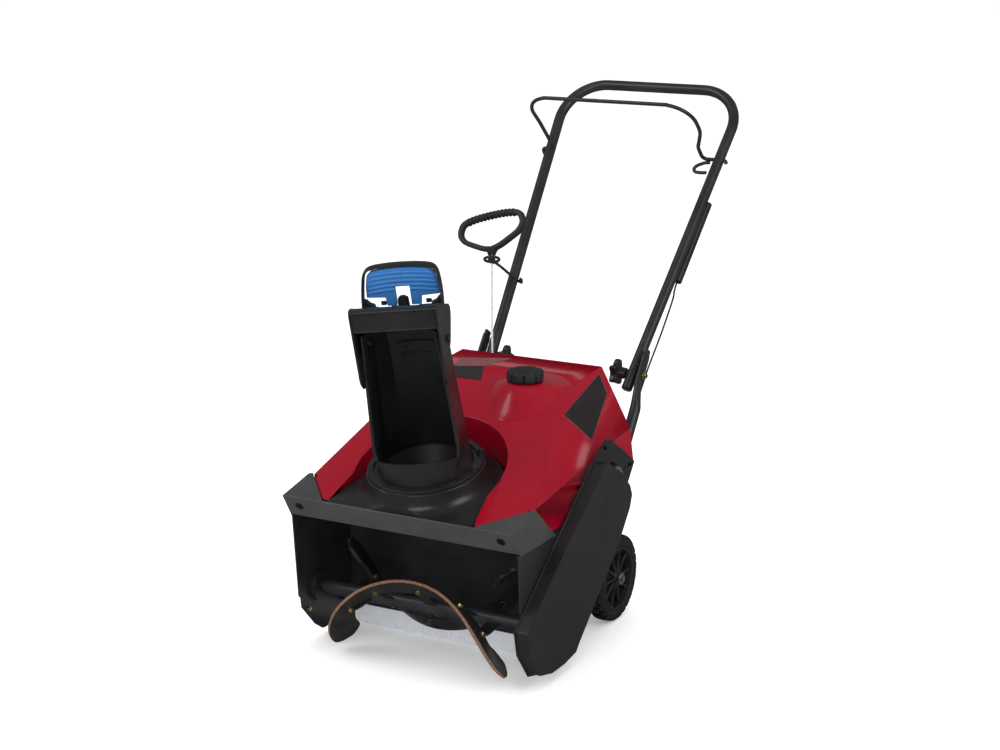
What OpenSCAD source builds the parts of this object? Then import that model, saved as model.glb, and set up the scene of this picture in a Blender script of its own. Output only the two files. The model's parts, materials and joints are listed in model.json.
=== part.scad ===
// Single stage snowblower. Millimetres, +Z up, front (auger) faces -Y.
// Modules draw with the wheel axle at y = 0; painted() then moves every node so that the origin is
// the middle of the scraper's wear edge, on the ground.

/* [Wheels] */
// Radius of the tyre
tyre_r = 85; // [80:1:90]
// Width of the tyre
tyre_w = 36; // [30:1:40]
// Distance from the centre plane to a wheel's middle
wheel_x = 214; // [212:1:214]

/* [Rotor housing] */
// Distance from the centre plane to the outer face of a side plate
plate_x = 236; // [236:1:237]
// Thickness of the steel side plates
plate_t = 2.5; // [2:0.5:3]
// Height of the rotor axis above the ground
rotor_z = 102; // [102:1:104]
// Radius swept by the rubber paddles
rotor_r = 99; // [96:1:99]

/* [Chute] */
// Forward tilt of the chute ring in degrees
ring_tilt = 14; // [12:1:16]
// Turn of the chute from straight ahead in degrees
chute_turn = 22; // [0:1:40]
// Inner radius of the round duct below the chute
duct_r = 68; // [64:1:68]

/* [Handle] */
// Radius of the handle tubes
tube_r = 11; // [10:0.5:11]
// Angle of the raised handle above the ground in degrees
handle_angle = 49.3; // [45:0.1:55]
// Distance from the fold axis to the grip bar
handle_len = 686; // [640:1:700]

/* [Hidden] */
$fn = 48;

edge_y = 248;
module painted(c) color(c) translate([0, edge_y, 0]) children();

rotor_y = -345;
plate_in = plate_x - plate_t;
crank = [-68, 300];
pulley_x = 239;
ring_at = [0, -329, 332];
collar_h = 38;
fold_at = [196, 440];
splay = 0.069;
leg_x0 = 161;
bend_r = 90;
bail_s = 514;
bail_open = 90;
rod_r = 4;
rope_dir = [-0.243, 0.434, 0.868];
rope_top = [-171, 219, 646];
wall = 3;
gap = 0.3;

// ---------- shared shapes ----------
module rod(p, q, r) {
    v = q - p;
    h = norm(v);
    translate(p) rotate([0, acos(v.z / h), atan2(v.y, v.x)]) cylinder(r = r, h = h);
}

module rod_path(pts, r) {
    for (i = [0 : len(pts) - 2]) rod(pts[i], pts[i + 1], r);
    for (i = [1 : len(pts) - 2]) translate(pts[i]) sphere(r = r, $fn = 24);
}

function unit(v) = v / norm(v);
function tangent(pts, i) =
    unit(pts[min(i + 1, len(pts) - 1)] - pts[max(i - 1, 0)]);

// Bent rod as one closed skin; side is any direction the path never runs along
module swept(pts, r, side, n = 14) {
    k = len(pts);
    ring = [for (i = [0 : k - 1]) let (t = tangent(pts, i), u = unit(side - (side * t) * t), v = cross(t, u))
        for (j = [0 : n - 1]) pts[i] + r * (cos(360 * j / n) * u + sin(360 * j / n) * v)];
    polyhedron(points = ring, faces = concat([[for (j = [0 : n - 1]) j]],
        [[for (j = [n - 1 : -1 : 0]) (k - 1) * n + j]],
        [for (i = [0 : k - 2]) for (j = [0 : n - 1]) each [
            [i * n + (j + 1) % n, i * n + j, (i + 1) * n + j],
            [i * n + (j + 1) % n, (i + 1) * n + j, (i + 1) * n + (j + 1) % n]]]));
}

module x_cyl(r, x0, x1) translate([x0, 0, 0]) rotate([0, 90, 0]) cylinder(r = r, h = x1 - x0);

// Profile in (y, z), extruded from x0 to x1
module yz_slab(pts, x0, x1)
    translate([x0, 0, 0]) rotate([90, 0, 90]) linear_extrude(x1 - x0) polygon(pts);

module at_yz(y, z) translate([0, y, z]) children();

module both_sides() { children(); mirror([1, 0, 0]) children(); }

function arc(c, r, a0, a1, n = 12) =
    [for (i = [0 : n]) let (a = a0 + (a1 - a0) * i / n) c + r * [cos(a), sin(a)]];

module hex_bolt(r = 4, h = 5) {
    cylinder(r = r * 1.35, h = 1);
    translate([0, 0, 1]) cylinder(r = r * 1.15, h = h - 1, $fn = 6);
}

module in_ring_frame() translate(ring_at) rotate([ring_tilt, 0, 0]) children();

module in_handle_frame()
    translate([0, fold_at[0], fold_at[1]]) rotate([handle_angle, 0, 0]) children();

// ---------- housing ----------
plate_outline = concat(
    [[-425, 262], [-411, 100], [-405, 94], [-402, 74], [-360, 28]],
    arc([-325, 44], 34, 250, 275, 4),
    [[-250, 14], [-214, 30], [-120, 136], [-104, 180], [-56, 205], [-56, 262]]);

module side_plate(s) {
    difference() {
        yz_slab(plate_outline, s > 0 ? plate_in : -plate_x, s > 0 ? plate_x : -plate_in);
        at_yz(rotor_y, rotor_z) x_cyl(19, -300, 300);
    }
    // stub that carries the idler arm
    if (s > 0) at_yz(idler_pivot[0], idler_pivot[1]) x_cyl(4, plate_in, 241);
}

module side_plate_left() painted([0.07, 0.07, 0.08]) side_plate(-1);

module side_plate_right() painted([0.07, 0.07, 0.08]) side_plate(1);

function housing_path(r) = concat(
    arc([rotor_y, rotor_z], r, -34, 0, 8),
    arc([rotor_y + r - 8, 143 + r], 8, 0, 90, 3),
    [[-415, 151 + r]]);

module rotor_housing() painted([0.06, 0.06, 0.07]) {
    outer = housing_path(114);
    inner = housing_path(112);
    difference() {
        yz_slab(concat(outer, [for (i = [len(inner) - 1 : -1 : 0]) inner[i]]),
            -plate_in + gap, plate_in - gap);
        in_ring_frame() translate([0, 0, -120]) cylinder(r = duct_r, h = 160);
    }
}

// Reversible wear strip along the bottom edge of the housing
module scraper() painted([0.85, 0.86, 0.88])
    yz_slab([[-252, 0], [-244, 0], [-240, 47], [-244.8, 47], [-248.3, 38]], -222, 222);

module housing_bolts() painted([0.75, 0.68, 0.35]) {
    for (p = [[-300, 34], [-310, 220], [-400, 235]])
        translate([-plate_x - gap, p[0], p[1]]) rotate([0, -90, 0]) hex_bolt(3.5, 4);
    translate([-plate_in + gap, -382, 66]) rotate([0, 90, 0]) hex_bolt(4, 5);
    translate([plate_in - gap, -382, 66]) rotate([0, -90, 0]) hex_bolt(4, 5);
}

// Round duct from the housing up to the chute ring
module discharge_duct() painted([0.06, 0.06, 0.07]) difference() {
    in_ring_frame() rotate_extrude($fn = 96) polygon([[duct_r, -100], [duct_r, 2], [90, 30], [90, 34],
        [93, 34], [93, 29], [duct_r + 2, 1], [duct_r + 2, -100]]);
    translate([-200, -500, 151 + 114.3 - 200]) cube([400, 500, 200]);
}

deck_front = -114;
module deck_outline(grow) {
    circle(r = 138 + grow, $fn = 96);
    polygon([[-150 - grow, deck_front], [150 + grow, deck_front], [134 + grow, 8], [-134 - grow, 8]]);
}

// Black panel between the hood's wings, with the flared collar that carries the chute
module deck_panel() painted([0.05, 0.05, 0.06]) difference() {
    in_ring_frame() {
        difference() {
            translate([0, 0, -3]) linear_extrude(3) deck_outline(0);
            translate([0, 0, -10]) cylinder(r = 112, h = 20, $fn = 96);
        }
        rotate_extrude($fn = 96) polygon([[134, 0], [122, 5], [114, 14], [110, 26], [109, collar_h - 2],
            [107, collar_h], [95, collar_h], [95, collar_h - 3], [105.5, collar_h - 3], [106.5, 25],
            [110, 12], [112, 5], [112, -3], [134, -3]]);
    }
    // straight front edge behind the grey band
    yz_slab([[-500, 270], [-422, 270], [-441.2, 304.4], [-441.2, 360], [-500, 360]], -250, 250);
}

// Grey band across the front, wrapped round both corners
lip_side = [[-449, 306], [-363, 325], [-293, 264], [-424, 264]];
module front_lip() painted([0.16, 0.16, 0.17]) difference() {
    union() {
        yz_slab([[-449, 306], [-446, 307.5], [-442, 304], [-418.5, 264], [-424, 264]], -238.5, 238.5);
        both_sides() yz_slab(lip_side, 236 + gap, 239);
        both_sides() intersection() {
            yz_slab([[-447, 303.5], [-447, 306.5], [-352, 327.5], [-352, 324.5]], 153, 239);
            translate([0, 0, 200]) linear_extrude(200)
                polygon([[153, -450], [239, -450], [239, -352], [236.5, -353], [166, -431], [153, -433]]);
        }
    }
    for (x = [-209, 209]) translate([x, -440, 287]) rotate([122, 0, 0])
        translate([0, 0, -30]) cylinder(r = 6.5, h = 60);
}

// ---------- hood ----------
hood_side = [
    [155, 68, 483], [155, -105, 471], [134, -413, 308], [164, -430, 306], [231, -357, 323],
    [200, -207, 394], [216, -80, 354], [217, 68, 368], [233, -273, 254], [233, -240, 205],
    [233, -60, 230], [226, 68, 300]];

// Convex body of the hood; t moves the top and sides inwards
module hood_body(t) hull() for (s = [-1, 1]) for (p = hood_side)
    translate([s * (p.x - t) - (s > 0 ? 1 : 0), p.y + (p.y > 0 ? -t - 1 : t), p.z - 1 - (p.z < 260 ? 0 : t * 1.2)])
        cube(1);

module hood_cut(grow) in_ring_frame() {
    translate([0, 0, -160]) cylinder(r = 140 + grow, h = 162, $fn = 96);
    translate([0, 0, 1.9]) cylinder(r1 = 140 + grow, r2 = 178 + grow, h = 160, $fn = 96);
    translate([0, 0, -160]) linear_extrude(320)
        polygon([[-152 - grow, -400], [152 + grow, -400], [152 + grow, deck_front],
            [136 + grow, 6], [-136 - grow, 6], [-152 - grow, deck_front]]);
}

module hood() painted([0.62, 0.02, 0.06]) difference() {
    difference() { hood_body(0); hood_cut(0); }
    difference() {
        hood_body(wall);
        hood_cut(wall);
    }
    // open underside
    translate([-240, -300, 180]) cube([480, 400, 28]);
    // filler neck
    translate([76, -100, 440]) cylinder(r = 26, h = 60);
    // slot for the starter rope at the rear
    translate([-112, 50, 326]) cube([52, 30, 36]);
    // room for the lower handle tubes, the front corner caps and the crankshaft
    both_sides() translate([176, 20, 190]) cube([30, 60, 170]);
    both_sides() yz_slab(lip_side, 220, 260);
    translate([-260, -500, 190]) cube([520, 274.4, 75.6]);
    at_yz(crank[0], crank[1]) x_cyl(36, 150, 300);
}

module fuel_cap() painted([0.08, 0.08, 0.08]) translate([76, -100, 484]) {
    difference() {
        union() {
            cylinder(r = 32, h = 20, $fn = 64);
            for (a = [0 : 45 : 315]) rotate(a) translate([31, 0, 2]) cylinder(r = 6, h = 17);
        }
        translate([0, 0, -1]) cylinder(r = 27, h = 14, $fn = 64);
        for (a = [22.5 : 45 : 360]) rotate(a) translate([42, 0, -1]) cylinder(r = 8, h = 30);
    }
}

// ---------- engine ----------
// Floor of the engine bay, with a bracket each side for the axle and a lower handle tube
module engine_deck() painted([0.1, 0.1, 0.1]) {
    translate([-232, -226, 158]) cube([464, 130, 3]);
    translate([-179, -97, 158]) cube([358, 157, 3]);
    both_sides() difference() {
        yz_slab([[-40, 159], [-16, 72], [16, 72], [58, 159], [72, 262], [18, 262]], 175.2, 178.7);
        at_yz(0, tyre_r) x_cyl(8.2, 150, 200);
    }
}

module engine_block() painted([0.45, 0.45, 0.47]) difference() {
    union() {
        translate([-70, -150, 162]) cube([150, 120, 60]);
        at_yz(crank[0], crank[1]) x_cyl(52, -70, 90);
        translate([-60, -120, 220]) cube([130, 104, 60]);
    }
    at_yz(crank[0], crank[1]) x_cyl(12.1, -80, 100);
}

// Finned cylinder and head, leaning back
module cylinder_head() painted([0.55, 0.55, 0.57]) translate([5, -13, 300]) rotate([-78, 0, 0]) {
    cylinder(r = 30, h = 62);
    for (i = [0 : 7]) translate([-42, -34, 4 + i * 7]) cube([84, 68, 3]);
}

module recoil_housing() painted([0.08, 0.08, 0.08]) at_yz(crank[0], crank[1]) difference() {
    x_cyl(78, -152, -70.4);
    x_cyl(74, -147, -60);
    x_cyl(9, -160, -90);
    for (a = [0 : 30 : 330]) rotate([a, 0, 0]) translate([0, 50, 0]) x_cyl(6, -160, -140);
    translate([-140, 20, 20]) cube([34, 90, 90]);
}

module recoil_pulley() painted([0.7, 0.7, 0.7]) at_yz(crank[0], crank[1]) difference() {
    union() {
        x_cyl(60, -140, -137);
        x_cyl(48, -138, -116);
        x_cyl(60, -117, -114);
        x_cyl(8.9, -158, -137);
    }
    x_cyl(5, -170, -100);
}

module fuel_tank() painted([0.13, 0.13, 0.14]) difference() {
    union() {
        translate([40, -142, 392]) cube([98, 84, 48]);
        translate([76, -100, 438]) cylinder(r = 22, h = 45);
        translate([76, -100, 476]) cylinder(r = 24, h = 7);
        for (x = [60, 80]) translate([x, -76, 352.4]) cylinder(r = 6, h = 42);
    }
    translate([44, -138, 396]) cube([90, 76, 40]);
    translate([76, -100, 430]) cylinder(r = 18, h = 70);
}

module muffler() painted([0.3, 0.3, 0.31]) {
    translate([-172, -150, 385]) cube([86, 84, 40]);
    at_yz(-80, 395) x_cyl(8, -90, -40);
    translate([-48, -80, 352.2]) cylinder(r = 8, h = 43);
}

module carburetor() painted([0.6, 0.6, 0.58]) {
    translate([30, 14, 345.5]) cube([40, 30, 36]);
    translate([22, 10, 380]) cube([60, 44, 24]);
}

module starter_motor() painted([0.1, 0.1, 0.1]) {
    translate([-20, 8, 190]) rotate([0, 90, 0]) cylinder(r = 24, h = 110);
    translate([90, 8, 190]) rotate([0, 90, 0]) cylinder(r = 10, h = 12);
}

module v_pulley(r, w, bore) difference() {
    rotate_extrude($fn = 72) polygon([[bore, 0], [r, 0], [r, 1.5], [r - 9, w / 2 - 2],
        [r - 9, w / 2 + 2], [r, w - 1.5], [r, w], [bore, w]]);
    for (a = [0 : 60 : 300]) rotate(a) translate([(bore + r - 8) / 2, 0, -1])
        cylinder(r = r > 45 ? 9 : 0.8, h = w + 2);
}

module crank_pulley() painted([0.7, 0.7, 0.72]) at_yz(crank[0], crank[1]) {
    translate([pulley_x, 0, 0]) rotate([0, 90, 0]) v_pulley(31, 14, 11.5);
    x_cyl(12, -95, pulley_x + 16);
}

module rotor_pulley() painted([0.55, 0.55, 0.57]) at_yz(rotor_y, rotor_z) {
    translate([pulley_x, 0, 0]) rotate([0, 90, 0]) v_pulley(68, 14, 9.5);
}

belt_len = norm([crank[0] - rotor_y, crank[1] - rotor_z]);
belt_angle = atan2(crank[1] - rotor_z, crank[0] - rotor_y);
belt_a = acos((62 - 25) / belt_len);
// Belt outline for pulley radii grown by g
module belt_loop(g) polygon(concat(
    arc([0, 0], 62 + g, belt_a, 360 - belt_a, 40), arc([belt_len, 0], 25 + g, -belt_a, belt_a, 24)));

module drive_belt() painted([0.12, 0.12, 0.12])
    translate([pulley_x + 4.6, rotor_y, rotor_z]) rotate([90, 0, 90]) rotate(belt_angle)
        linear_extrude(4.8) difference() { belt_loop(7); belt_loop(0.4); }

idler_pivot = [-151.5, 155.6];
idler_at = [-121.7, 182.3];
// Arm that swings its roller against the lower strand of the belt
module idler_arm() painted([0.35, 0.35, 0.36]) {
    difference() {
        yz_slab(concat(arc(idler_pivot, 9, 132, 312), arc(idler_at, 7, -48, 132)), 236.4, 238.4);
        at_yz(idler_pivot[0], idler_pivot[1]) x_cyl(4.06, 230, 245);
    }
    at_yz(idler_at[0], idler_at[1]) x_cyl(2.95, 238, 253);
}

module idler_pulley() painted([0.5, 0.5, 0.52]) at_yz(idler_at[0], idler_at[1]) difference() {
    x_cyl(14, 239, 252);
    x_cyl(3, 230, 260);
}

// ---------- belt cover ----------
cover_flange = [[-445, 128], [-435, 82], [-393, 27], [-343, 15], [-290, 15], [-240, 24], [-232, 34],
    [-64, 178], [42, 312], [-14, 350], [-72, 384], [-88, 386], [-124, 370], [-281, 254]];
cover_raised = [[-441, 128], [-431, 84], [-390, 32], [-342, 20], [-292, 20], [-246, 27], [-236, 38],
    [-70, 182], [-22, 240], [-14, 262], [-24, 284], [-60, 318], [-122, 354], [-138, 352], [-281, 248]];
module belt_cover() painted([0.1, 0.1, 0.11]) difference() {
    union() {
        yz_slab(cover_flange, 236.2 + gap, 240);
        yz_slab(cover_raised, 239, 262);
    }
    yz_slab([for (p = cover_raised) [p[0] + (p[0] > -150 ? -5 : p[0] < -400 ? 4 : 0) ,
        p[1] + (p[1] < 60 ? 4 : p[1] > 240 ? -6 : 0)]], 238, 259);
    yz_slab([[-434, 124], [-424, 84], [-388, 38], [-340, 27], [-292, 25], [-250, 32], [-75, 186], [-30, 246],
        [-66, 312], [-124, 346], [-276, 236]], 230, 244);
    at_yz(crank[0], crank[1]) x_cyl(36, 230, 257);
}

// Screws of the front band and of the belt cover
module cover_screws() painted([0.1, 0.1, 0.1]) {
    for (x = [-209, 209]) translate([x, -434.9, 290.2]) rotate([122, 0, 0]) difference() {
        union() {
            translate([0, 0, -2]) cylinder(r = 6, h = 3.5);
            translate([0, 0, -10]) cylinder(r = 3, h = 9);
        }
        translate([0, 0, 0.5]) cylinder(r = 2.5, h = 3, $fn = 6);
    }
    for (p = [[-92, 372], [20, 312]]) translate([240.2, p[0], p[1]]) rotate([0, 90, 0])
        hex_bolt(3.5, 4);
}

// ---------- controls ----------
module control_panel() painted([0.09, 0.09, 0.1]) difference() {
    union() {
        translate([-140, 69, 212]) cube([280, 10, 108]);
        translate([-173, 61, 161.3]) cube([346, 8.4, 120]);
    }
    translate([-136, 68, 216]) cube([272, 7, 100]);
    for (p = [[-40, 10.06], [10, 12.86], [62, 6.06], [105, 9.06]])
        translate([p[0], 60, 286]) rotate([-90, 0, 0]) cylinder(r = p[1], h = 30);
    translate([-111.8, 60, 236.2]) cube([41.6, 30, 33.6]);
}

module choke_knob() painted([0.1, 0.1, 0.1]) translate([-40, 70, 286]) rotate([-90, 0, 0]) {
    cylinder(r = 10, h = 11);
    translate([0, 0, 10]) cylinder(r = 16, h = 8);
    translate([-3, -16, 17.5]) cube([6, 32, 8.5]);
}

module primer_bulb() painted([0.15, 0.15, 0.15]) translate([10, 75.4, 286]) rotate([-90, 0, 0]) {
    cylinder(r = 12.8, h = 7);
    translate([0, 0, 7]) cylinder(r1 = 12.8, r2 = 9, h = 6);
}

module ignition_key() painted([0.75, 0.1, 0.1]) translate([62, 71, 286]) rotate([-90, 0, 0]) {
    cylinder(r = 6, h = 9.5);
    translate([-11, -3, 9]) cube([22, 6, 20]);
}

module start_button() painted([0.8, 0.8, 0.8]) translate([105, 73, 286]) rotate([-90, 0, 0])
    cylinder(r = 9, h = 13);

// Three blade mains inlet of the electric starter
module power_inlet() painted([0.12, 0.12, 0.12]) translate([-91, 0, 253]) {
    difference() {
        translate([-20.5, 69.4, -16.5]) cube([41, 13, 33]);
        translate([0, 72, 0]) rotate([-90, 0, 0]) cylinder(r = 13, h = 30);
    }
    for (p = [[-5, 3], [5, 3], [0, -6]]) translate([p[0], 71, p[1]]) rotate([-90, 0, 0])
        cylinder(r = 2, h = 9);
}

// ---------- rotor ----------
module rotor_shaft() painted([0.25, 0.25, 0.26]) at_yz(rotor_y, rotor_z) difference() {
    union() {
        x_cyl(9.5 - gap, -246, pulley_x + 17);
        x_cyl(14, -214, 214);
    }
    x_cyl(3, 250, 300);
}

paddle_t = 7;
paddle_n = 28;
function paddle_angle(v) = -72 + 117 * pow(max(0, cos(90 * sin(v))), 0.4);
// Point of a paddle's middle surface at sweep angle v (-90 to 90) and radius r; m shifts it left or right,
// and both ends cone inwards
function paddle_at(v, r, m) = let (a = paddle_angle(v))
    [m * 15.5 + 180.5 * sin(v) - 0.9 * sign(v) * pow(sin(v), 4) * (rotor_r - r), -r * cos(a), r * sin(a)];
// The same point moved h along the blade's normal
function paddle_side(v, r, m, h) = let (a = paddle_angle(v),
    t = paddle_at(min(90, v + 1), r, m) - paddle_at(max(-90, v - 1), r, m))
    paddle_at(v, r, m) + h * unit(cross(t, [0, -cos(a), sin(a)]));

// Twisted strip between radii r0 and r1, h thick each side, for v from -e to e
module paddle_strip(m, r0, r1, h, e) {
    n = paddle_n;
    polyhedron(points = [for (i = [0 : n]) let (v = -e + 2 * e * i / n)
            for (c = [[r1, -h], [r1, h], [r0, h], [r0, -h]]) paddle_side(v, c[0], m, c[1])],
        faces = concat([[3, 2, 1, 0]], [[4 * n, 4 * n + 1, 4 * n + 2, 4 * n + 3]],
            [for (i = [0 : n - 1]) for (k = [0 : 3]) each [
                [4 * i + k, 4 * i + (k + 1) % 4, 4 * i + 4 + k],
                [4 * i + (k + 1) % 4, 4 * i + 4 + (k + 1) % 4, 4 * i + 4 + k]]]));
}

module rotor_pair() for (m = [1, -1]) rotate([m > 0 ? 0 : 180, 0, 0]) {
    $m = m;
    children();
}

// Steel arms from the shaft into the rubber of each paddle
module rotor_frame() painted([0.12, 0.12, 0.13]) at_yz(rotor_y, rotor_z) rotor_pair()
    for (v = [-58, -30, 0, 30, 58]) let (c = paddle_at(v, 60, $m)) translate([c.x, 0, 0])
        rotate([-paddle_angle(v), 0, 0]) translate([-13, -63, -2]) cube([26, 48.4, 4]);

module rotor_paddles() painted([0.14, 0.14, 0.14]) at_yz(rotor_y, rotor_z) rotor_pair()
    paddle_strip($m, 54, rotor_r, paddle_t / 2, 90);

module rotor_bolts() painted([0.8, 0.75, 0.4]) at_yz(rotor_y, rotor_z) rotor_pair()
    for (v = [-58, -30, 0, 30, 58]) let (p = paddle_side(v, 66, $m, 0), q = paddle_side(v, 66, $m, 1) - p)
        rod(p - 8 * q, p + 8 * q, 5);

module rotor_bearings() painted([0.2, 0.2, 0.2]) both_sides() at_yz(rotor_y, rotor_z) difference() {
    union() {
        x_cyl(18.8, 224, 238.5);
        x_cyl(30, 224, plate_in - gap);
    }
    x_cyl(9.3, 220, 250);
}

// ---------- wheels ----------
module wheel_axle() painted([0.6, 0.6, 0.62]) at_yz(0, tyre_r) difference() {
    x_cyl(8, -233.5, 233.5);
    both_sides() x_cyl(3.5, 215, 250);
}

module tyre(s) translate([s * wheel_x, 0, tyre_r]) rotate([0, 90, 0])
    rotate_extrude($fn = 96) polygon([[62, -tyre_w / 2 + 3], [66, -tyre_w / 2], [78, -tyre_w / 2 + 1],
        [tyre_r - 3, -tyre_w / 2 + 6], [tyre_r - 3, tyre_w / 2 - 6], [78, tyre_w / 2 - 1],
        [66, tyre_w / 2], [62, tyre_w / 2 - 3]]);

module tyre_lugs(s) translate([s * wheel_x, 0, tyre_r]) rotate([0, 90, 0])
    for (a = [0 : 15 : 345]) for (k = [-1, 1]) rotate(a + (k > 0 ? 7.5 : 0))
        translate([tyre_r - 6, -5, k > 0 ? 1.5 : -tyre_w / 2 + 4]) cube([5.6, 10, tyre_w / 2 - 5.5]);

module tyre_left() painted([0.08, 0.08, 0.08]) { tyre(-1); tyre_lugs(-1); }

module tyre_right() painted([0.08, 0.08, 0.08]) { tyre(1); tyre_lugs(1); }

module rim(s) translate([s * wheel_x, 0, tyre_r]) mirror([s < 0 ? 1 : 0, 0, 0]) rotate([0, 90, 0]) {
    difference() {
        union() {
            rotate_extrude($fn = 96) polygon([[56, -tyre_w / 2 + 2], [61.7, -tyre_w / 2 + 2],
                [61.7, tyre_w / 2 - 2], [56, tyre_w / 2 - 2]]);
            cylinder(r = 15, h = tyre_w - 2, center = true);
            for (a = [0 : 36 : 324]) rotate(a) translate([12, -2.5, -12]) cube([46, 5, 24]);
            translate([0, 0, -2]) cylinder(r = 58, h = 3, $fn = 72);
        }
        cylinder(r = 8.06, h = 60, center = true);
    }
}

module rim_left() painted([0.1, 0.1, 0.1]) rim(-1);

module rim_right() painted([0.1, 0.1, 0.1]) rim(1);

module axle_bolts() painted([0.8, 0.8, 0.8]) both_sides() at_yz(0, tyre_r) {
    x_cyl(12, 233.8, 235.5);
    translate([235, 0, 0]) rotate([0, 90, 0]) cylinder(r = 7, h = 5, $fn = 6);
    x_cyl(3.2, 220, 234);
}

// ---------- chute ----------
ring_bolt_angles = [0, 35, 90, 145, 180];
// Retaining ring, bolted down over the foot flange of the chute
module chute_ring() painted([0.07, 0.07, 0.08]) in_ring_frame() translate([0, 0, collar_h + gap])
    difference() {
        union() {
            cylinder(r = 106, h = 6, $fn = 96);
            for (a = ring_bolt_angles) rotate(a) translate([101, 0, 0]) cylinder(r = 7, h = 11);
        }
        translate([0, 0, -1]) cylinder(r = 95, h = 20, $fn = 96);
        translate([0, 0, -1]) cylinder(r = 98, h = 4, $fn = 96);
        for (a = ring_bolt_angles) rotate(a) translate([101, 0, -1]) cylinder(r = 2.6, h = 14);
    }

module ring_bolts() painted([0.25, 0.25, 0.26]) in_ring_frame() translate([0, 0, collar_h + gap])
    for (a = ring_bolt_angles) rotate(a) translate([101, 0, 11.2]) {
        cylinder(r = 4.6, h = 4, $fn = 6);
        cylinder(r = 2.4, h = 7);
        translate([0, 0, -10]) cylinder(r = 2.4, h = 11);
    }

module in_chute_frame()
    in_ring_frame() translate([0, 0, collar_h + gap]) rotate(chute_turn) children();

// Outline of the chute channel: a round back that runs into straight side walls
module chute_section(g, r, w, front) {
    intersection() {
        circle(r = r + g, $fn = 60);
        translate([-w - g, -r * 2]) square([2 * (w + g), 4 * r]);
    }
    if (front > 0) translate([-w - g, -front]) square([2 * (w + g), front]);
}

chute_h = 292;
pivot_y = -18;
pivot_z = chute_h - 34;
module chute_solid(g) {
    hull() {
        translate([0, 0, 0.1]) linear_extrude(1) chute_section(g, 90, 90, 0);
        translate([0, 0, 52]) linear_extrude(1) chute_section(g, 84, 77, 62);
    }
    hull() {
        translate([0, 0, 52]) linear_extrude(1) chute_section(g, 84, 77, 62);
        translate([0, 0, chute_h - 1]) linear_extrude(1) chute_section(g, 72, 66, 62);
    }
}

module chute() painted([0.05, 0.05, 0.06]) in_chute_frame() difference() {
    union() {
        difference() {
            chute_solid(0);
            translate([0, 0, -0.5]) chute_solid(-2.6);
            translate([0, 0, 1]) chute_solid(-2.6);
            // open front above the low lip, and sloping top
            translate([-100, -200, 50]) rotate([9, 0, 0]) cube([200, 142, 320]);
            translate([-100, -68, 330]) rotate([-25, 0, 0]) cube([200, 220, 90]);
        }
        difference() {
            translate([0, 0, 0.1]) cylinder(r = 97.5, h = 2.6, $fn = 96);
            translate([0, 0, -1]) cylinder(r = 86, h = 8, $fn = 96);
        }
        // stiffening steps high on the back wall
        for (z = [196, 216, 236]) translate([-46, 50, z]) cube([92, 16, 4]);
        both_sides() translate([64, pivot_y, pivot_z]) rotate([0, 90, 0]) cylinder(r = 13, h = 8);
    }
    translate([-100, pivot_y, pivot_z]) rotate([0, 90, 0]) cylinder(r = 4.06, h = 200);
}

module in_deflector_frame() in_chute_frame() translate([0, pivot_y, pivot_z]) children();

// Adjustable cap at the top of the chute, with its grip arch
module deflector() painted([0.06, 0.06, 0.07]) in_deflector_frame() {
    difference() {
        union() {
            both_sides() yz_slab([[-64, 92], [-68, 86], [-63, -48], [-44, -68], [-32, -62], [-6, -26],
                [24, -18], [62, 20], [62, 36], [-50, 90]], 73, 76);
            yz_slab([[-66, 84], [-64, 92], [-50, 90], [62, 38], [62, 34], [-50, 86], [-61, 87.5],
                [-63, 84]], -76, 76);
            yz_slab([[-67, 84], [-63, 84], [-59, 49], [-62, 49]], -76, 76);
        }
        rotate([0, 90, 0]) translate([0, 0, -100]) cylinder(r = 4.1, h = 200);
    }
    grip = [[69, 26, 50], [70, 36, 66], [69, 44, 88], [63, 49, 111], [51, 51, 123], [30, 52, 126]];
    swept(concat([for (p = grip) [-p.x, p.y, p.z]], [for (i = [len(grip) - 1 : -1 : 0]) grip[i]]),
        5, [0, 1, 0]);
}

module deflector_pins() painted([0.3, 0.3, 0.3]) in_deflector_frame()
    both_sides() translate([60, 0, 0]) rotate([0, 90, 0]) {
        cylinder(r = 4, h = 17);
        translate([0, 0, 16.6]) cylinder(r = 8, h = 3);
    }

// Blue squeeze trigger inside the grip
module deflector_trigger() painted([0.1, 0.3, 0.75]) in_deflector_frame() difference() {
    union() {
        translate([0, 56, 0]) rotate([90, 0, 0]) linear_extrude(11)
            polygon([[-62, 66], [62, 66], [58, 106], [48, 115], [-48, 115], [-58, 106]]);
        both_sides() translate([14, 46, 49]) cube([14, 9, 18]);
        both_sides() translate([0, 50, 49]) x_cyl(4, 14, 28);
    }
    for (z = [78 : 8 : 102]) translate([-70, 44.4, z]) cube([140, 2, 2.5]);
}

// ---------- handles ----------
module lower_handle(s) mirror([s < 0 ? 1 : 0, 0, 0]) difference() {
    rod_path([[190, 222, 486], [190, 140, 372], [190, 44, 236], [190, 30, 196]], tube_r);
    at_yz(fold_at[0], fold_at[1]) x_cyl(4.06, 100, 260);
}

module lower_handle_left() painted([0.08, 0.08, 0.08]) lower_handle(-1);

module lower_handle_right() painted([0.08, 0.08, 0.08]) lower_handle(1);

function leg_x(s) = leg_x0 + splay * s;
bend_a = atan(splay);
bend_c = [leg_x(handle_len - bend_r) - bend_r / cos(bend_a), handle_len - bend_r];
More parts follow.
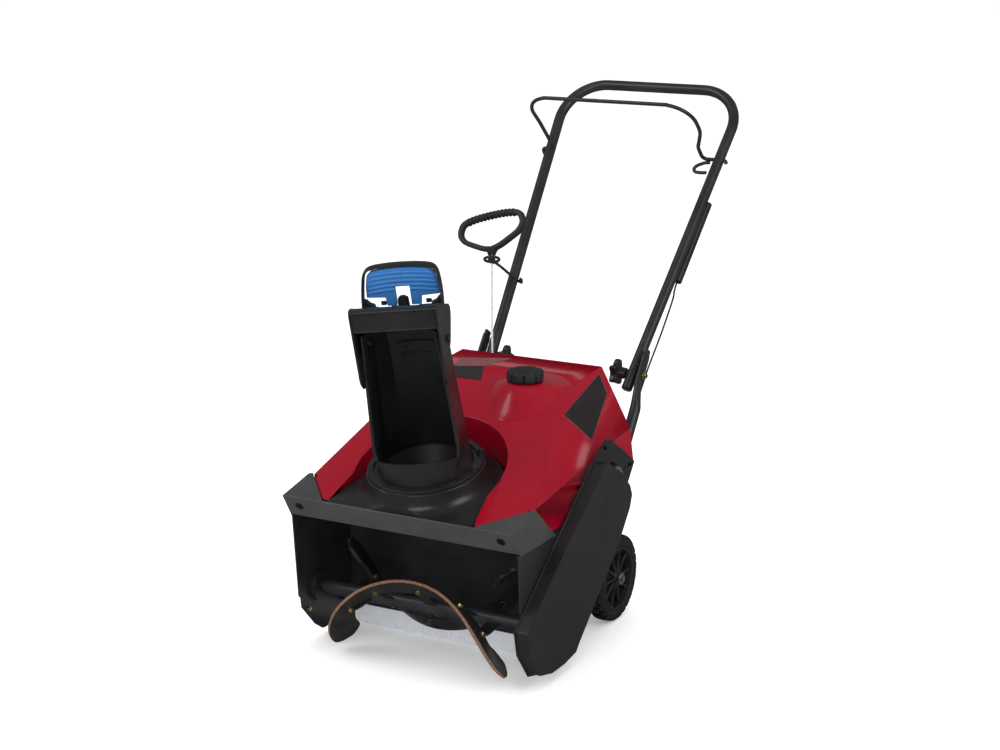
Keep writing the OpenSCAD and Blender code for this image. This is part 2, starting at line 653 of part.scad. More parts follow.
// Right half of the handle's centre line, from the foot to the middle of the grip bar
handle_half = concat([[leg_x(-34), -34, 0]],
    [for (i = [0 : 8]) let (a = -bend_a + (90 + bend_a) * i / 8)
        [bend_c.x + bend_r * cos(a), bend_c.y + bend_r * sin(a), 0]]);
module upper_handle() painted([0.08, 0.08, 0.08]) in_handle_frame() difference() {
    swept(concat(handle_half, [for (i = [len(handle_half) - 1 : -1 : 0])
        [-handle_half[i].x, handle_half[i].y, 0]]), tube_r, [0, 0, 1], 20);
    x_cyl(4.06, -220, 220);
    translate([0, bail_s, 0]) x_cyl(rod_r + 0.06, -260, 260);
}

module knob(s) mirror([s < 0 ? 1 : 0, 0, 0]) at_yz(fold_at[0], fold_at[1]) {
    x_cyl(4, 140, 206);
    x_cyl(11, 134, 148.5);
    translate([118, 0, 0]) rotate([90, 0, 90]) linear_extrude(16)
        polygon([for (a = [0 : 6 : 354]) (22.5 + 3.5 * cos(5 * a)) * [cos(a), sin(a)]]);
    x_cyl(9, 202.5, 206);
}

module knob_left() painted([0.07, 0.07, 0.07]) knob(-1);

module knob_right() painted([0.07, 0.07, 0.07]) knob(1);

bail_leg = leg_x(bail_s) - tube_r;
// One half of the bail in its own plane: bar, corner, leg, jog and pivot pin
bail_half = concat([[0, 192, 0]],
    [for (i = [0 : 8]) [128 + 58 * sin(i * 11.25), 134 + 58 * cos(i * 11.25), 0]],
    [[184, 100, 0], [168, 60, 0], [163, 44, 0], [161, 20, 0], [161.5, 8, 0], [164, 2.5, 0],
    [169, 0, 0], [bail_leg + 26, 0, 0]]);
module bail() painted([0.1, 0.1, 0.1]) in_handle_frame() translate([0, bail_s, 0])
    rotate([bail_open, 0, 0]) {
        swept(concat([for (i = [len(bail_half) - 1 : -1 : 1]) [-bail_half[i].x, bail_half[i].y, 0]],
            [for (i = [1 : len(bail_half) - 1]) bail_half[i]]), rod_r, [0, 0, 1]);
    }

module cable_sleeve() painted([0.1, 0.1, 0.1]) in_handle_frame() difference() {
    rod([leg_x(420) + 2, 420, -22], [leg_x(230) + 2, 232, -26], 9.5);
    rod([leg_x(420) + 2, 430, -21.8], [leg_x(230) + 2, 222, -26.2], 7);
}

module control_cable() painted([0.5, 0.5, 0.5]) in_handle_frame()
    swept([[leg_x(400), 426, -22.1], [leg_x(230) + 2, 224, -26.1], [182, 110, -26], [178, 30, -24]],
        1.5, [1, 0, 0]);

module rope_guide() painted([0.12, 0.12, 0.12]) {
    g = rope_top - 8 * rope_dir;
    eye = [for (i = [0 : 20]) let (a = 100 + i * 16) g + 15 * [cos(a), sin(a), 0.25 * cos(a) - 0.5 * sin(a)]];
    swept(concat([[-157, 322, 572], [-166, 318, 576], [-168, 296, 590], [-170, 262, 612]], eye),
        3, [0, 0, 1], 10);
}

module starter_grip() painted([0.07, 0.07, 0.07]) {
    translate(rope_top) rotate([0, -15.6, 0]) rotate([-26.6, 0, 0]) {
        translate([0, 0, 2]) cylinder(r1 = 8, r2 = 12, h = 9);
        translate([0, 7, 0]) rotate([90, 0, 0]) linear_extrude(14) difference() {
            polygon([[-14, 8], [14, 8], [66, 33], [80, 50], [80, 74], [70, 87], [24, 94], [-24, 94],
                [-70, 87], [-80, 74], [-80, 50], [-66, 33]]);
            polygon([[-12, 22], [12, 22], [56, 41], [67, 52], [67, 68], [58, 77], [22, 81], [-22, 81],
                [-58, 77], [-67, 68], [-67, 52], [-56, 41]]);
        }
    }
}

module starter_rope() painted([0.6, 0.6, 0.6])
    rod(rope_top - 375 * rope_dir, rope_top + 1.6 * rope_dir, 2);

side_plate_left();
side_plate_right();
rotor_housing();
scraper();
housing_bolts();
discharge_duct();
deck_panel();
front_lip();
hood();
engine_deck();
engine_block();
cylinder_head();
recoil_housing();
recoil_pulley();
fuel_tank();
fuel_cap();
muffler();
carburetor();
starter_motor();
crank_pulley();
rotor_pulley();
drive_belt();
idler_arm();
idler_pulley();
belt_cover();
cover_screws();
control_panel();
choke_knob();
primer_bulb();
ignition_key();
start_button();
power_inlet();
rotor_shaft();
rotor_frame();
rotor_paddles();
rotor_bolts();
rotor_bearings();
wheel_axle();
tyre_left();
rim_left();
tyre_right();
rim_right();
axle_bolts();
chute_ring();
ring_bolts();
chute();
deflector();
deflector_pins();
deflector_trigger();
lower_handle_left();
lower_handle_right();
upper_handle();
knob_left();
knob_right();
bail();
cable_sleeve();
control_cable();
rope_guide();
starter_grip();
starter_rope();
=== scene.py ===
"""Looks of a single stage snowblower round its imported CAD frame.

Local drawings are in millimetres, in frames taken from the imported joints; the scene is in metres.
+Z is up, -Y is the front and +X is the belt cover side. The origin is the scraper's wear edge.
"""

import json
import math

import bmesh
import bpy
from mathutils import Matrix, Vector
from mathutils.bvhtree import BVHTree


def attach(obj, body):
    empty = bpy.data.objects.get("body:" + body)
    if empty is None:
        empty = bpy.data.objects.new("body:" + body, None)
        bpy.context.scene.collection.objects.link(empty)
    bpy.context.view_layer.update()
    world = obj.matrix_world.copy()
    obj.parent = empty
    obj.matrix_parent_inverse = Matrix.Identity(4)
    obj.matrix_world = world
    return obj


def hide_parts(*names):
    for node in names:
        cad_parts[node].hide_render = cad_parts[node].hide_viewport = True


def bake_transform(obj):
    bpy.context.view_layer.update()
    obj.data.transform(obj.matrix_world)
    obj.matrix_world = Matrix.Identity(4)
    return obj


MM = 0.001
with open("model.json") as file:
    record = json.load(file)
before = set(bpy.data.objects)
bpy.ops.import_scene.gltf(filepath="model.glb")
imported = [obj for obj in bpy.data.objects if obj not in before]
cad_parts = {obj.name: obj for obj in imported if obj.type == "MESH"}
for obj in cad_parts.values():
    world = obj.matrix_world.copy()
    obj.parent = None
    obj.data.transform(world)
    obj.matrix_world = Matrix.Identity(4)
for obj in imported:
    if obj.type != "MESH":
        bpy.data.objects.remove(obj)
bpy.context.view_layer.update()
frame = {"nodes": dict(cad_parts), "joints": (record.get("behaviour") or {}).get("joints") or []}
NODES = frame["nodes"]
JOINTS = {j["name"]: j for j in frame["joints"]}


# ---------- frames ----------
def local_frame(origin, x, z):
    """Matrix from millimetres in a frame with these x and z directions to metres in the row frame."""
    z = Vector(z).normalized()
    x = Vector(x)
    x = (x - x.dot(z) * z).normalized()
    turn = Matrix((x, z.cross(x), z)).transposed().to_4x4()
    turn.translation = Vector(origin)
    return turn @ Matrix.Scale(MM, 4)


def joint_at(name):
    return Vector(JOINTS[name]["pos_m"])


def joint_axis(name):
    return Vector(JOINTS[name]["axis"])


X_AXIS = Vector((1, 0, 0))
# Way up the handle legs, in the centre plane
leg_way = (joint_at("bail_swing") - joint_at("handle_fold")).normalized()
leg_way.x = 0
# CHUTE and CAP have x along the tilt axis and z along the turn axis; HANDLE has y up the legs and z forwards.
CHUTE = local_frame(joint_at("chute_turn"), joint_axis("deflector_tilt"), joint_axis("chute_turn"))
CAP = local_frame(joint_at("deflector_tilt"), joint_axis("deflector_tilt"), joint_axis("chute_turn"))
RING = local_frame(joint_at("chute_turn"), X_AXIS, joint_axis("chute_turn"))
HANDLE = local_frame(joint_at("handle_fold"), X_AXIS, X_AXIS.cross(leg_way))
BAIL = local_frame(joint_at("bail_swing"), X_AXIS, -leg_way)
ROTOR = local_frame(joint_at("rotor_spin"), X_AXIS, (0, 0, 1))
# On the ground below the wheel axle, square to the row frame
AXLE = local_frame((0, joint_at("wheel_left_spin").y, 0), X_AXIS, (0, 0, 1))
# Top of the starter rope, where the grip's neck starts
ROPE_TOP = Vector((-171, 219, 646))
GRIP = local_frame(AXLE @ ROPE_TOP, (0.963, 0, 0.27), joint_axis("starter_pull"))
HOOD_TREE = BVHTree.FromPolygons([v.co for v in NODES["hood"].data.vertices],
                                 [p.vertices for p in NODES["hood"].data.polygons])


# ---------- materials ----------
def node_tree(name):
    mat = bpy.data.materials.new(name)
    mat.use_nodes = True
    tree = mat.node_tree
    return mat, tree, tree.nodes["Principled BSDF"]


def noise(tree, scale, detail, rough):
    coords = tree.nodes.new("ShaderNodeTexCoord")
    tex = tree.nodes.new("ShaderNodeTexNoise")
    tex.inputs["Scale"].default_value = scale
    tex.inputs["Detail"].default_value = detail
    tex.inputs["Roughness"].default_value = rough
    tree.links.new(coords.outputs["Object"], tex.inputs["Vector"])
    return tex.outputs["Fac"]


def spread(tree, value, low, high, start=0.3, end=0.7):
    """Maps a texture value from start..end to low..high."""
    node = tree.nodes.new("ShaderNodeMapRange")
    node.inputs["From Min"].default_value = start
    node.inputs["From Max"].default_value = end
    node.inputs["To Min"].default_value = low
    node.inputs["To Max"].default_value = high
    tree.links.new(value, node.inputs["Value"])
    return node.outputs["Result"]


def mix_colour(tree, factor, a, b):
    node = tree.nodes.new("ShaderNodeMix")
    node.data_type = "RGBA"
    tree.links.new(factor, node.inputs["Factor"])
    node.inputs["A"].default_value = (*a, 1)
    node.inputs["B"].default_value = (*b, 1)
    return node.outputs["Result"]


def surface(name, colour, rough, metal=0.0, coat=0.0, grain=0.1, grain_size=0.5, mottle=0.25,
            patch=60, bump_mm=0.15, shine=0.3):
    """Moulded, painted or metal surface: patchy colour and roughness, and a grain bump.

    patch, grain_size and bump_mm are in millimetres; mottle is the colour's variation either way.
    """
    mat, tree, bsdf = node_tree(name)
    patchy = noise(tree, 1000 / patch, 4, 0.6)
    fine = noise(tree, 350 / grain_size, 2, 0.6)
    dark = tuple(c * (1 - mottle) for c in colour)
    light = tuple(min(1, c * (1 + mottle)) for c in colour)
    tree.links.new(mix_colour(tree, spread(tree, patchy, 0, 1), dark, light), bsdf.inputs["Base Color"])
    tree.links.new(spread(tree, patchy, rough * 0.85, rough * 1.15), bsdf.inputs["Roughness"])
    bump = tree.nodes.new("ShaderNodeBump")
    bump.inputs["Strength"].default_value = grain
    bump.inputs["Distance"].default_value = bump_mm * MM
    tree.links.new(fine, bump.inputs["Height"])
    tree.links.new(bump.outputs["Normal"], bsdf.inputs["Normal"])
    bsdf.inputs["Metallic"].default_value = metal
    bsdf.inputs["Specular IOR Level"].default_value = shine
    bsdf.inputs["Coat Weight"].default_value = coat
    bsdf.inputs["Coat Roughness"].default_value = 0.06
    return mat


MATS = {
    "black_steel": surface("black_steel", (0.017, 0.017, 0.018), 0.32, grain=0.25, grain_size=1.6, shine=0.5),
    "black_plastic": surface("black_plastic", (0.012, 0.012, 0.013), 0.3,
                             grain=0.35, grain_size=0.9, patch=90, shine=0.5),
    "grain_plastic": surface("grain_plastic", (0.016, 0.016, 0.017), 0.46, grain=0.8, grain_size=0.8),
    "grey_plastic": surface("grey_plastic", (0.044, 0.044, 0.045), 0.38,
                            grain=0.6, grain_size=0.8, mottle=0.15),
    "red_shell": surface("red_shell", (0.25, 0.0006, 0.011), 0.22,
                         coat=0.04, grain=0.06, grain_size=5, mottle=0.06, patch=200, shine=0.4),
    "blue_plastic": surface("blue_plastic", (0.045, 0.19, 0.5), 0.33,
                            grain=0.35, grain_size=0.8, mottle=0.12),
    "rubber": surface("rubber", (0.022, 0.021, 0.02), 0.42, grain=0.7, grain_size=1.2, mottle=0.35, patch=30),
    "cord": surface("cord", (0.16, 0.085, 0.05), 0.85,
                    grain=1.0, grain_size=1.4, mottle=0.5, patch=4, bump_mm=0.5),
    "tyre": surface("tyre", (0.012, 0.012, 0.012), 0.6, grain=0.6, grain_size=1.5, mottle=0.3, patch=25),
    "gold_zinc": surface("gold_zinc", (0.7, 0.58, 0.27), 0.3,
                         metal=1.0, grain=0.4, grain_size=1.0, mottle=0.25, patch=8),
    "dark_steel": surface("dark_steel", (0.05, 0.05, 0.055), 0.42, metal=0.6, grain=0.4, grain_size=1.2),
    "bright_steel": surface("bright_steel", (0.62, 0.62, 0.63), 0.25,
                            metal=1.0, grain=0.3, grain_size=0.7, mottle=0.12, patch=12),
    "cast_aluminium": surface("cast_aluminium", (0.42, 0.42, 0.43), 0.5,
                              metal=0.85, grain=0.9, grain_size=2.0),
    "rope": surface("rope", (0.5, 0.5, 0.49), 0.8,
                    grain=1.0, grain_size=1.5, mottle=0.35, patch=4, bump_mm=0.5),
    "red_plastic": surface("red_plastic", (0.5, 0.02, 0.02), 0.3, grain=0.2),
    # Near-black for the screws, and painted shade too: the screw recess discs and the strips beside the front
    # band's corner caps.
    "screw_black_and_painted_shade": surface("screw_black_and_painted_shade", (0.004, 0.004, 0.004), 0.4, grain=0.3, grain_size=1),
    "cable_black": surface("cable_black", (0.02, 0.02, 0.02), 0.45, grain=0.2),
    "grey_button": surface("grey_button", (0.45, 0.45, 0.45), 0.35, grain=0.3),
    "label": surface("label", (0.018, 0.014, 0.015), 0.35,
                     grain=0.1, grain_size=3, mottle=0.25, patch=40, shine=0.2),
    "label_edge": surface("label_edge", (0.2, 0.07, 0.075), 0.3,
                          metal=0.3, grain=0.1, grain_size=3, mottle=0.2),
}


def pale_plastic():
    """Milky wear strip that lets some light through."""
    mat = surface("pale_plastic", (0.78, 0.81, 0.86), 0.28, grain=0.3, grain_size=3, mottle=0.06)
    bsdf = mat.node_tree.nodes["Principled BSDF"]
    bsdf.inputs["Transmission Weight"].default_value = 0.08
    bsdf.inputs["Subsurface Weight"].default_value = 0.3
    bsdf.inputs["Subsurface Scale"].default_value = 0.01
    return mat


MATS["pale_plastic"] = pale_plastic()


# ---------- mesh helpers ----------
def add_piece(name, bm, place, body, mat, stands_for=(), smooth=35):
    """Turns a bmesh in local millimetres into a piece that rides on a body, unless body is None."""
    bmesh.ops.recalc_face_normals(bm, faces=bm.faces)
    mesh = bpy.data.meshes.new(name)
    bm.transform(place)
    bm.to_mesh(mesh)
    bm.free()
    mesh.shade_smooth()
    mesh.set_sharp_from_angle(angle=math.radians(smooth))
    mesh.materials.append(MATS[mat])
    obj = bpy.data.objects.new(name, mesh)
    bpy.context.scene.collection.objects.link(obj)
    if body:
        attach(obj, body)
    if stands_for:
        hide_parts(*stands_for)
    return obj


def bevel(obj, width, segments=2, angle=30, clamp=True):
    mod = obj.modifiers.new("Bevel", "BEVEL")
    mod.width = width * MM
    mod.segments = segments
    mod.limit_method = "ANGLE"
    mod.angle_limit = math.radians(angle)
    mod.use_clamp_overlap = clamp
    mod.harden_normals = True
    return obj


def skin(bm, rings, caps=True, closed_path=False):
    """Joins rings of points into a skin, capped at both ends unless the path closes on itself."""
    loops = [[bm.verts.new(p) for p in ring] for ring in rings]
    count = len(loops[0])
    pairs = list(zip(loops, loops[1:]))
    if closed_path:
        pairs.append((loops[-1], loops[0]))
    for a, b in pairs:
        for i in range(count):
            j = (i + 1) % count
            bm.faces.new((a[i], a[j], b[j], b[i]))
    if caps and not closed_path:
        bm.faces.new(loops[0][::-1])
        bm.faces.new(loops[-1])


def smooth_path(points, steps=6):
    """Catmull-Rom curve through the points."""
    pts = [Vector(p) for p in points]
    pts = [2 * pts[0] - pts[1]] + pts + [2 * pts[-1] - pts[-2]]
    out = []
    for i in range(1, len(pts) - 2):
        a, b, c, d = pts[i - 1:i + 3]
        for k in range(steps):
            t = k / steps
            out.append(0.5 * (2 * b + (c - a) * t + (2 * a - 5 * b + 4 * c - d) * t * t
                              + (3 * b - a - 3 * c + d) * t ** 3))
    return out + [pts[-2]]


def path_frames(path, closed=False):
    """Position and two side directions at each point, turning as little as possible."""
    count = len(path)
    tangents = []
    for i in range(count):
        before = path[i - 1] if (closed or i) else path[i]
        after = path[(i + 1) % count] if (closed or i < count - 1) else path[i]
        tangents.append((after - before).normalized())
    side = tangents[0].orthogonal().normalized()
    out = []
    for point, tangent in zip(path, tangents):
        side = (side - side.dot(tangent) * tangent).normalized()
        out.append((point, side, tangent.cross(side)))
    return out


def tube(bm, path, radius, sides=20, closed=False):
    """Round tube along a path, with softened ends; radius is a number or a function of the path's share."""
    path = [Vector(p) for p in path]
    size = radius if callable(radius) else (lambda t: radius)
    rings = []
    frames = path_frames(path, closed)
    for i, (point, u, v) in enumerate(frames):
        r = size(i / max(1, len(path) - 1))
        rings.append([point + r * (math.cos(2 * math.pi * k / sides) * u
                                   + math.sin(2 * math.pi * k / sides) * v) for k in range(sides)])
    if not closed:
        for at, sign in ((0, -1), (-1, 1)):
            centre = frames[at][0]
            way = (path[at] - path[1 if at == 0 else -2]).normalized()
            r = size(0 if at == 0 else 1)
            lip = [centre + way * r * 0.12 + (p - centre) * 0.82 for p in rings[at]]
            if at == 0:
                rings.insert(0, lip)
            else:
                rings.append(lip)
    skin(bm, rings, closed_path=closed)


def lathe(bm, profile, sides):
    """Turned shape from a closed loop of (radius, height) points, round z."""
    turns = [2 * math.pi * k / sides for k in range(sides)]
    skin(bm, [[Vector((r * math.cos(a), r * math.sin(a), h)) for r, h in profile] for a in turns],
         closed_path=True)


def prism(bm, outline, low, high, axis):
    """Straight prism from an outline; axis x takes (y, z) points, z takes (x, y), y takes (x, z)."""
    def point(p, h):
        return {"x": (h, p[0], p[1]), "y": (p[0], h, p[1]), "z": (p[0], p[1], h)}[axis]
    skin(bm, [[Vector(point(p, low)) for p in outline], [Vector(point(p, high)) for p in outline]])


def rounded(points, radius, count=5):
    """Outline with its corners rounded."""
    pts = [Vector(p) for p in points]
    out = []
    for i, p in enumerate(pts):
        a = (pts[i - 1] - p)
        b = (pts[(i + 1) % len(pts)] - p)
        r = min(radius, a.length * 0.45, b.length * 0.45)
        start, end = p + a.normalized() * r, p + b.normalized() * r
        for k in range(count + 1):
            t = k / count
            out.append((1 - t) ** 2 * start + 2 * t * (1 - t) * p + t * t * end)
    return [tuple(q) for q in out]


def hex_head(bm, at, way, radius, height):
    """Six sided bolt head with a washer face."""
    way = Vector(way).normalized()
    side = way.orthogonal().normalized()
    other = way.cross(side)

    def ring(r, h, sides):
        turns = [2 * math.pi * k / sides for k in range(sides)]
        return [Vector(at) + way * h + r * (math.cos(a) * side + math.sin(a) * other) for a in turns]
    skin(bm, [ring(radius * 1.3, 0, 24), ring(radius * 1.3, height * 0.18, 24)])
    skin(bm, [ring(radius, height * 0.15, 6), ring(radius, height * 0.85, 6), ring(radius * 0.85, height, 6)])


# ---------- carried-over CAD nodes ----------
def dress(name, mat, width):
    """Material and softened edges on a CAD node; its vertices stay as packed."""
    obj = NODES[name]
    obj.data.materials.clear()
    obj.data.materials.append(MATS[mat])
    normals = obj.data.attributes.get("custom_normal")
    if normals:
        obj.data.attributes.remove(normals)
    obj.data.shade_smooth()
    weld = obj.modifiers.new("Weld", "WELD")
    weld.merge_threshold = 0.02 * MM
    bevel(obj, width, angle=28, clamp=False)


# ---------- rotor ----------
ROTOR_R, ROTOR_IN, PADDLE_T = 99, 54, 7
# Each blade runs this far either way from a middle that is shifted along the shaft
BLADE_REACH, BLADE_SHIFT = 180.5, 15.5
# Sweep angles of the arms and bolts, and the radii where they hold the blade
ARM_SWEEPS = (-58, -30, 0, 30, 58)
BOLT_R, ARM_R, SHAFT_R = 66, 62, 13


def paddle_middle(v, r, m):
    """Middle of the blade at sweep angle v (degrees) and radius r; m (1 or -1) says which blade."""
    wave = math.sin(math.radians(v))
    a = math.radians(-72 + 117 * max(0.0, math.cos(math.pi / 2 * wave)) ** 0.4)
    out = Vector((0, -math.cos(a), math.sin(a)))
    cone = 0.9 * math.copysign(wave ** 4, wave) * (ROTOR_R - r)
    return Vector((m * BLADE_SHIFT + BLADE_REACH * wave - cone, 0, 0)) + r * out


def paddle_point(v, r, m, h=0.0):
    """Point h millimetres off the blade's middle surface."""
    centre = paddle_middle(v, r, m)
    along = paddle_middle(min(90, v + 1), r, m) - paddle_middle(max(-90, v - 1), r, m)
    across = paddle_middle(v, r + 1, m) - centre
    point = centre + h * along.cross(across).normalized()
    return point if m > 0 else Vector((point.x, -point.y, -point.z))


def paddle_reach(v):
    """Inner and outer radius of the blade; both ends are rounded lobes."""
    end = max(0.0, (abs(v) - 84) / 6)
    half = (ROTOR_R - ROTOR_IN) / 2 * math.sqrt(max(0.02, 1 - end * end))
    middle = (ROTOR_R + ROTOR_IN) / 2
    return middle - half, middle + half


SWEEP = [-90 + 180 * k / 120 for k in range(121)]


def build_rotor():
    blades, cord, bolts, arms = bmesh.new(), bmesh.new(), bmesh.new(), bmesh.new()
    for m in (1, -1):
        rings = []
        for v in SWEEP:
            r0, r1 = paddle_reach(v)
            h = PADDLE_T / 2
            rings.append([paddle_point(v, r, m, d) for r, d in (
                (r1 - 1.2, -h), (r1, -h + 1.2), (r1, h - 1.2), (r1 - 1.2, h), ((r0 + r1) / 2, h),
                (r0 + 1.2, h), (r0, h - 1.2), (r0, -h + 1.2), (r0 + 1.2, -h), ((r0 + r1) / 2, -h))])
        skin(blades, rings)
        rings = []
        for v in SWEEP[1:-1]:
            r1 = paddle_reach(v)[1]
            rings.append([paddle_point(v, r1 + r, m, h) for r, h in
                          ((-1.5, -2.6), (0.1, -2.6), (0.4, -1.6), (0.4, 1.6), (0.1, 2.6), (-1.5, 2.6))])
        skin(cord, rings)
        for v in ARM_SWEEPS:
            at = paddle_point(v, BOLT_R, m)
            way = (paddle_point(v, BOLT_R, m, 1) - at).normalized()
            for side in (-1, 1):
                hex_head(bolts, at + way * side * PADDLE_T / 2, way * side, 5, 5)
        for v in ARM_SWEEPS:
            top = paddle_point(v, ARM_R, m)
            foot = Vector((top.x, top.y * SHAFT_R / ARM_R, top.z * SHAFT_R / ARM_R))
            way = (top - foot).cross(X_AXIS).normalized()
            rings = []
            for t, w in ((0, 11), (0.2, 13), (0.75, 13), (1, 11)):
                c = foot.lerp(top, t)
                rings.append([c + X_AXIS * a * w + way * b * 2
                              for a, b in ((-1, -1), (1, -1), (1, 1), (-1, 1))])
            skin(arms, rings)
    bevel(add_piece("paddle_arms", arms, ROTOR, "rotor", "black_steel", ["rotor_frame"]), 0.8)
    add_piece("paddle_blades", blades, ROTOR, "rotor", "rubber", ["rotor_paddles"])
    add_piece("paddle_cord", cord, ROTOR, "rotor", "cord", smooth=60)
    bevel(add_piece("paddle_bolts", bolts, ROTOR, "rotor", "gold_zinc", ["rotor_bolts"]), 0.4)


# ---------- wheels ----------
TREAD_COUNT, SPOKE_PAIRS = 26, 5


def build_tread(name, body, place):
    """Tyre body, three rows of tread blocks, and thin ribs on both shoulders."""
    bm = bmesh.new()
    lathe(bm, [(62, -15), (64, -17.2), (70, -18), (76, -17), (80.5, -13), (81.5, -6), (81.5, 6), (80.5, 13),
               (76, 17), (70, 18), (64, 17.2), (62, 15)], 96)
    for k in range(TREAD_COUNT):
        for row in (-1, 0, 1):
            a = 2 * math.pi * (k + (0.5 if row == 0 else 0)) / TREAD_COUNT
            u, v = Vector((math.cos(a), math.sin(a), 0)), Vector((-math.sin(a), math.cos(a), 0))
            half = 2 * math.pi * 84 / TREAD_COUNT * (0.36 if row == 0 else 0.34)
            if row == 0:
                outline = ((80, -6.5, 0.8), (84.6, -5.8, 1), (84.6, 5.8, 1), (80, 6.5, 0.8))
            else:
                outline = ((76, row * 16.2, 0.9), (81.5, row * 15.2, 1), (84.4, row * 11.5, 1),
                           (84.4, row * 8.4, 0.75), (79, row * 8.2, 0.7))
            skin(bm, [[u * r + v * t * half * w + Vector((0, 0, h)) for r, h, w in outline] for t in (-1, 1)])
    for k in range(TREAD_COUNT * 2):
        a = 2 * math.pi * k / (TREAD_COUNT * 2)
        u, v = Vector((math.cos(a), math.sin(a), 0)), Vector((-math.sin(a), math.cos(a), 0))
        for row in (-1, 1):
            skin(bm, [[u * r + v * t * 1.5 + Vector((0, 0, row * h)) for r, h in
                       ((71, 17.3), (71, 18.3), (76.5, 17.6), (78.5, 16), (77, 14.6))] for t in (-1, 1)])
    bevel(add_piece("tread_" + name, bm, place, body, "tyre", ["tyre_" + name]), 0.7)


def build_rim(name, body, place):
    """Rim band, dished disc and hub, with pairs of leaning spokes on the disc."""
    bm = bmesh.new()
    lathe(bm, [(57, -15.5), (61.8, -16), (61.8, 16), (60, 17), (57, 16.2), (56, 12), (55, 2), (55, -13)], 96)
    lathe(bm, [(8.2, -15), (14, -15), (16, -6), (19, -4), (55.5, -4), (55.5, -1), (20, 1.5), (16.5, 6),
               (15.5, 13.5), (14, 15), (8.2, 15)], 72)
    for k in range(SPOKE_PAIRS):
        a = 2 * math.pi * k / SPOKE_PAIRS + math.pi / 2
        for lean in (-1, 1):
            inner, outer = a + lean * 0.34, a + lean * 0.2
            p = Vector((14.5 * math.cos(inner), 14.5 * math.sin(inner), 0))
            q = Vector((57 * math.cos(outer + lean * 0.12), 57 * math.sin(outer + lean * 0.12), 0))
            side = (q - p).cross(Vector((0, 0, 1))).normalized()
            rings = []
            for t, w, top in ((0, 3.6, 13), (0.25, 2.8, 10.5), (0.85, 2.3, 9.5), (1, 3.4, 12)):
                c = p.lerp(q, t)
                section = ((1.25, -2), (1, top - 1), (0.5, top), (-0.5, top), (-1, top - 1), (-1.25, -2))
                rings.append([c + side * w * share + Vector((0, 0, h)) for share, h in section])
            skin(bm, rings)
    bevel(add_piece("wheel_rim_" + name, bm, place, body, "black_plastic", ["rim_" + name]), 0.5)


def build_wheel(name, sign):
    body = "wheel_" + name
    place = local_frame(joint_at(body + "_spin"), (0, 1, 0), (sign, 0, 0))
    build_tread(name, body, place)
    build_rim(name, body, place)


# ---------- chute ----------
# Front edges' distance before the turn axis, height of the shell, and of the round foot
CHUTE_FRONT, CHUTE_H, FOOT_H = 62, 292, 52
LIP_TOP = 50


def chute_half(z, inset=0.0):
    """Half outline of the chute from its front edge to the middle of its back, at height z."""
    foot = max(0.0, 1 - z / FOOT_H)
    rise = max(0.0, (z - FOOT_H) / (CHUTE_H - FOOT_H))
    r = (84 - 12 * rise) * (1 - foot) + 90 * foot - inset
    w = (77 - 11 * rise) - inset
    flat = min(1.0, rise * 1.15)
    upper = []
    start = math.degrees(math.asin(min(1, math.sqrt(max(0, r * r - w * w)) / r)))
    for k in range(4):
        upper.append(Vector((w, -CHUTE_FRONT + (CHUTE_FRONT + r * math.sin(math.radians(start))) * k / 4)))
    # higher up, the round back turns into two flats that meet at a corner
    side = Vector((w, r * math.sin(math.radians(start))))
    corner = Vector((w * (0.5 + 0.36 * rise), r * (0.98 - 0.03 * rise)))
    back = Vector((0, r * 0.985))
    bend_at = 0.42
    for k in range(13):
        a = math.radians(start + (90 - start) * k / 12)
        round_p = Vector((r * math.cos(a), r * math.sin(a)))
        t = k / 12
        if t < bend_at:
            flat_p = side.lerp(corner, t / bend_at)
        else:
            flat_p = corner.lerp(back, (t - bend_at) / (1 - bend_at))
        upper.append(round_p.lerp(flat_p, flat))
    if foot <= 0:
        return upper
    out = []
    for k, p in enumerate(upper):
        a = math.radians(-48 + 138 * k / (len(upper) - 1))
        out.append(p.lerp(Vector((r * math.cos(a), r * math.sin(a))), foot ** 0.8))
    return out


def chute_loop(z, inset=0.0):
    """Open outline of the chute at height z, from its right front edge round the back to its left one."""
    half = chute_half(z, inset)
    return [Vector((p.x, p.y, z)) for p in half] + [Vector((-p.x, p.y, z)) for p in half[-2::-1]]


def chute_top(y):
    """Height of the sloping top edge at depth y."""
    return min(CHUTE_H, 330 - 0.466 * (y + 68))


def chute_wall(bm):
    """Wall of the chute, its outer skin joined to an inner one, with the top cut to a slope."""
    outer = [chute_loop(z) for z in (2.6, 8, 16, 26, 38, LIP_TOP)]
    for k in range(1, 23):
        z = LIP_TOP + (CHUTE_H - LIP_TOP) * k / 22
        outer.append([Vector((p.x, p.y, min(z, chute_top(p.y) - (CHUTE_H - z) * 0.02)))
                      for p in chute_loop(z)])
    inner = []
    for ring in outer:
        z = ring[0].z
        inner.append([Vector((q.x, q.y, p.z)) for p, q in zip(ring, chute_loop(z, 3.4))])
    for ring_in in inner:
        ring_in[0].y = ring_in[-1].y = -CHUTE_FRONT if ring_in[0].z > LIP_TOP else ring_in[0].y
    skin(bm, [a + b[::-1] for a, b in zip(outer, inner)])


def chute_lip(bm):
    """Low wall across the open front."""
    lip_rows = []
    for z in (2.6, 10, 20, 30, 40, 47):
        p = chute_loop(z)[0]
        r = math.hypot(p.x, p.y)
        start = math.atan2(p.y, p.x)
        arc_out, arc_in = [], []
        for k in range(19):
            a = start + (-math.pi - 2 * start) * k / 18
            sag = 1 - 0.16 * (z / 47) * math.sin(math.pi * k / 18)
            arc_out.append(Vector((r * math.cos(a), r * math.sin(a) * sag, z)))
            arc_in.append(Vector(((r - 3) * math.cos(a), (r - 3) * math.sin(a) * sag, z)))
        lip_rows.append(arc_out + arc_in[::-1])
    skin(bm, lip_rows)


